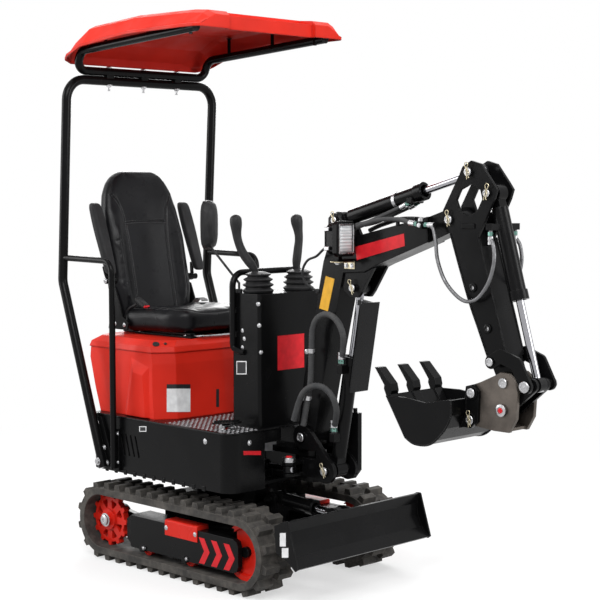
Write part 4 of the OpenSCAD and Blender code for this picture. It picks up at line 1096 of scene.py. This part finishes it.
def add_levers():
    """Grips and bellows of the two levers, in place of the plain solids."""
    right = ((274, -134, 1284), (266, -150, 1316), (236, -176, 1372), (217, -188, 1430), (211, -191, 1490),
             (209, -192, 1532))
    left = ((270, 114, 1284), (266, 110, 1316), (270, 114, 1372), (274, 117, 1430), (268, 112, 1490),
            (264, 108, 1530))
    routes = {"lever_right": ((278, -129), right), "lever_left": ((272, 116), left)}
    bellows = [(20, 0), (60, 0), (64, 5), (66, 12), (54, 20), (52, 24), (64, 31), (65, 36), (52, 43),
               (50, 47), (61, 54), (62, 58), (46, 66), (44, 69), (54, 76), (54, 80), (30, 88), (12, 90)]
    for node, ((x, y), route) in routes.items():
        build = Build(node + "_grip", "house")
        build.lathe((x, y, 1205), UP, bellows, PLASTIC, 40)
        points = line(route, 4)
        whole = length_of(points)

        def thick(gone, t, whole=whole):
            g = gone / whole
            ends = math.sqrt(max(0.02, 1 - max(0.0, (g - 0.93) / 0.07) ** 2))
            return (13 + 6 * min(1, g * 5) + 6.5 * bell(g, 0.88, 0.13) - 1.5 * bell(g, 0.55, 0.15)) * ends

        build.sweep(points, thick, PLASTIC, 20)
        build.done(sharp=1.2, node=node, slot="lever_plastic")


def add_tubes():
    """Hoop, handrails and loop handle with smooth bends, in place of the mitred solids."""
    hoop = Build("canopy_hoop", "house")
    foot = [(-440, 415), (-350, 415), (-350, 470), (-420, 640), (-505, 640)]
    hoop.plate([(x, -406, z) for x, z in foot], (0, -12, 0), BLACK)
    for x, z in ((-384, 440), (-404, 505), (-452, 610), (-478, 628)):
        hoop.dome((x, -418, z), OUT, 9)
    pivot = [(2, 19), (17, 19), (17, 23), (11, 23), (11, 30), (2, 30)]
    hoop.lathe((-404, -431, 448), OUT, pivot, ZINC)
    hoop.mirrored()
    side_run = [(-392, 431, 420), (-672, 431, 1227), (-622, 431, 2124)]
    route = [(x, -y, z) for x, y, z in side_run] + side_run[::-1]
    hoop.sweep(bent(route, 92, 10), 21, BLACK, 24)
    hoop.done(node="hoop", slot="black_paint")
    for s, node in ((1, "rail_left"), (-1, "rail_right")):
        rail = Build(node + "_tube", "house")
        route = [(-655, s * 431, 1332), (-320, s * 431, 1327), (-320, s * 431, 426)]
        rail.sweep(bent(route, 52, 10), 13.5, BLACK, 18)
        foot = [(-340, 415), (-300, 415), (-300, 600), (-340, 600)]
        rail.plate([(x, s * 406, z) for x, z in foot], (0, s * 12, 0), BLACK)
        for z in (452, 578):
            rail.dome((-308, s * 418, z), (0, s, 0), 6)
        rail.done(node=node, slot="black_paint")
    loop = Build("console_loop", "house")
    for z in (1032, 1132):
        loop.block((210, -202, z), (28, 12, 24), BLACK, 2)
        loop.dome((190, -199, z), OUT, 6)
    y = 211.5
    foot = [(210, -y, 1000), (210, -y, 975), (250, -204, 960), (268, -200, 960)]
    loop.sweep(bent(foot, 30), 12, BLACK, 16)
    loop.mirrored()
    route = [(210, -y, 992), (210, -y, 1290), (210, y, 1290), (210, y, 992)]
    loop.sweep(bent(route, 58, 10), 13.5, BLACK, 18)
    loop.done(node="front_handle", slot="black_paint")


def add_roof_frame():
    """The roof's frame tube with smooth bends, its spacers and struts, in place of the mitred solid."""
    tube = Build("roof_frame_tube", "house")
    foot = 2270
    for x, top in ((-430, 2340), (-140, 2355), (130, 2352)):
        high = top - foot
        strut = [(2, 0), (8, 0), (8, high - 4), (12, high - 3), (12, high), (2, high)]
        tube.lathe((x, -364, foot), UP, strut, BLACK, 16)
    plug = [(2, 0), (19.5, 0), (19.5, 4), (17, 6), (2, 6)]
    tube.lathe((178, -378, 2295.9), (1, 0, 0.063), plug, PLASTIC)
    tube.mirrored()
    side_run = [(180, -378, 2296), (-596, -378, 2247), (-620, -372, 2164)]
    route = side_run + [(x, -y, z) for x, y, z in side_run[::-1]]
    tube.sweep(bent(route, 70, 10), 19, BLACK, 22)
    for y in (-200, 0, 200):
        tube.block((-620, y, 2145), (32, 40, 34), BLACK, 3)
        tube.dome((-620, y, 2183), UP, 10)
    tube.done(node="roof_frame", slot="black_paint")


def add_track_trim():
    under = Build("undercarriage_trim", "undercarriage")
    bolts_at(under, "cover_right", [(166.2, 527.7), (194.9, 534.6)], 7)
    bolts_at(under, "track_frame_right", [(144.1, 548), (187, 559)], 7)
    hub = [(1, 0), (30, 0), (30, 3), (24, 4), (23, 11), (18, 14), (8, 14), (7, 10), (1, 10)]
    under.lathe((-441.5, -384, 172), OUT, hub, ZINC)
    arrow = [(0, 200), (34, 200), (67, 146), (34, 92), (0, 92), (33, 146)]
    for x in (196, 272, 348):
        under.plate([(x + a, -395.4, b) for a, b in arrow], (0, -0.8, 0), RED_FILM)
    under.mirrored()
    under.done()
    blade = Build("blade_trim", "blade")
    blade.label("blade", (279.9, 533), (285.8, 546.5), WHITE)
    blade.label("blade", (281.9, 548), (288.4, 557.7), WHITE)
    blade.done()
    swing = Build("swing_trim", "swing_post")
    cap = [(1, 0), (27, 0), (27, 18), (23, 22), (16, 22), (15, 19), (1, 19)]
    swing.lathe((460, -130, 512), UP, cap, ZINC)
    swing.lathe((460, -130, 530), UP, [(1, 0), (14, 0), (14, 6), (10, 9), (1, 9)], RED_FILM)
    swing.lathe((400, 0, 636), UP, [(1, 0), (30, 0), (30, 5), (26, 8), (10, 8), (9, 5), (1, 5)], ZINC)
    swing.done()


# Stage and light

FLOOR_GLOW = 0.55
SKY = 0.30
WHITE_LIGHT = (1, 1, 1, 1)


def add_stage():
    mat = bpy.data.materials.new("studio_floor")
    mat.use_nodes = True
    floor = Nodes(mat.node_tree)
    floor.tree.nodes.remove(floor.tree.nodes["Principled BSDF"])
    rays = floor.seen_rays()
    place = floor.node("NewGeometry").outputs["Position"]
    away = floor.node("VectorMath", {0: place}, operation="LENGTH").outputs["Value"]
    fade = {"Value": away, "From Min": 1.5, "From Max": 4.0}
    far = floor.node("MapRange", fade, interpolation_type="SMOOTHSTEP")
    base = floor.node("BsdfDiffuse", {"Color": (0.42, 0.42, 0.42, 1)})
    level = floor.math("MULTIPLY", rays, FLOOR_GLOW)
    glow = floor.node("Emission", {"Color": WHITE_LIGHT, "Strength": level})
    near = floor.node("AddShader", {0: base.outputs[0], 1: glow.outputs[0]})
    bright = floor.node("Emission", {"Color": WHITE_LIGHT, "Strength": rays})
    mix = floor.node("MixShader", {0: far.outputs["Result"], 1: near.outputs[0], 2: bright.outputs[0]})
    floor.put(mix.outputs[0], floor.tree.nodes["Material Output"].inputs["Surface"])
    mesh = bpy.data.meshes.new("floor")
    corners = ((-20, -20), (20, -20), (20, 20), (-20, 20))
    mesh.from_pydata([(x, y, -0.001) for x, y in corners], [], [(0, 1, 2, 3)])
    mesh.materials.append(mat)
    obj = bpy.data.objects.new("floor", mesh)
    scene.collection.objects.link(obj)
    scene.world = bpy.data.worlds.new("world")
    scene.world.use_nodes = True
    sky = Nodes(scene.world.node_tree)
    back = sky.tree.nodes["Background"].inputs
    sky.put(WHITE_LIGHT, back["Color"])
    sky.put(sky.span(sky.seen_rays(), SKY, 1.0, (0, 1)), back["Strength"])


def add_lamp(name, place, aim, size, power):
    data = bpy.data.lights.new(name, "AREA")
    data.shape = "RECTANGLE"
    data.size, data.size_y = size
    data.energy = power
    obj = bpy.data.objects.new(name, data)
    scene.collection.objects.link(obj)
    obj.location = place
    obj.rotation_euler = (Vector(aim) - Vector(place)).to_track_quat("-Z", "Y").to_euler()


add_stage()
add_lamp("key", (3.2, -3.8, 4.6), (0.2, 0, 1.0), (3.0, 3.0), 255)
add_lamp("left_fill", (-3.6, -3.4, 2.6), (0, 0, 1.0), (2.4, 3.2), 140)
add_lamp("right_fill", (5.2, 1.6, 2.4), (0.4, 0, 1.0), (2.2, 3.0), 150)
add_lamp("top", (0.0, 0.8, 5.4), (0.2, 0, 0.8), (4.0, 4.0), 150)
add_lamp("rear", (-4.2, 3.6, 3.4), (0, 0, 1.2), (2.6, 2.6), 140)
add_seat()
add_hoses()
add_pins()
add_arm_trim()
add_deck()
add_console()
add_levers()
add_tubes()
add_house_trim()
add_roof_frame()
add_track_trim()

bpy.context.view_layer.update()
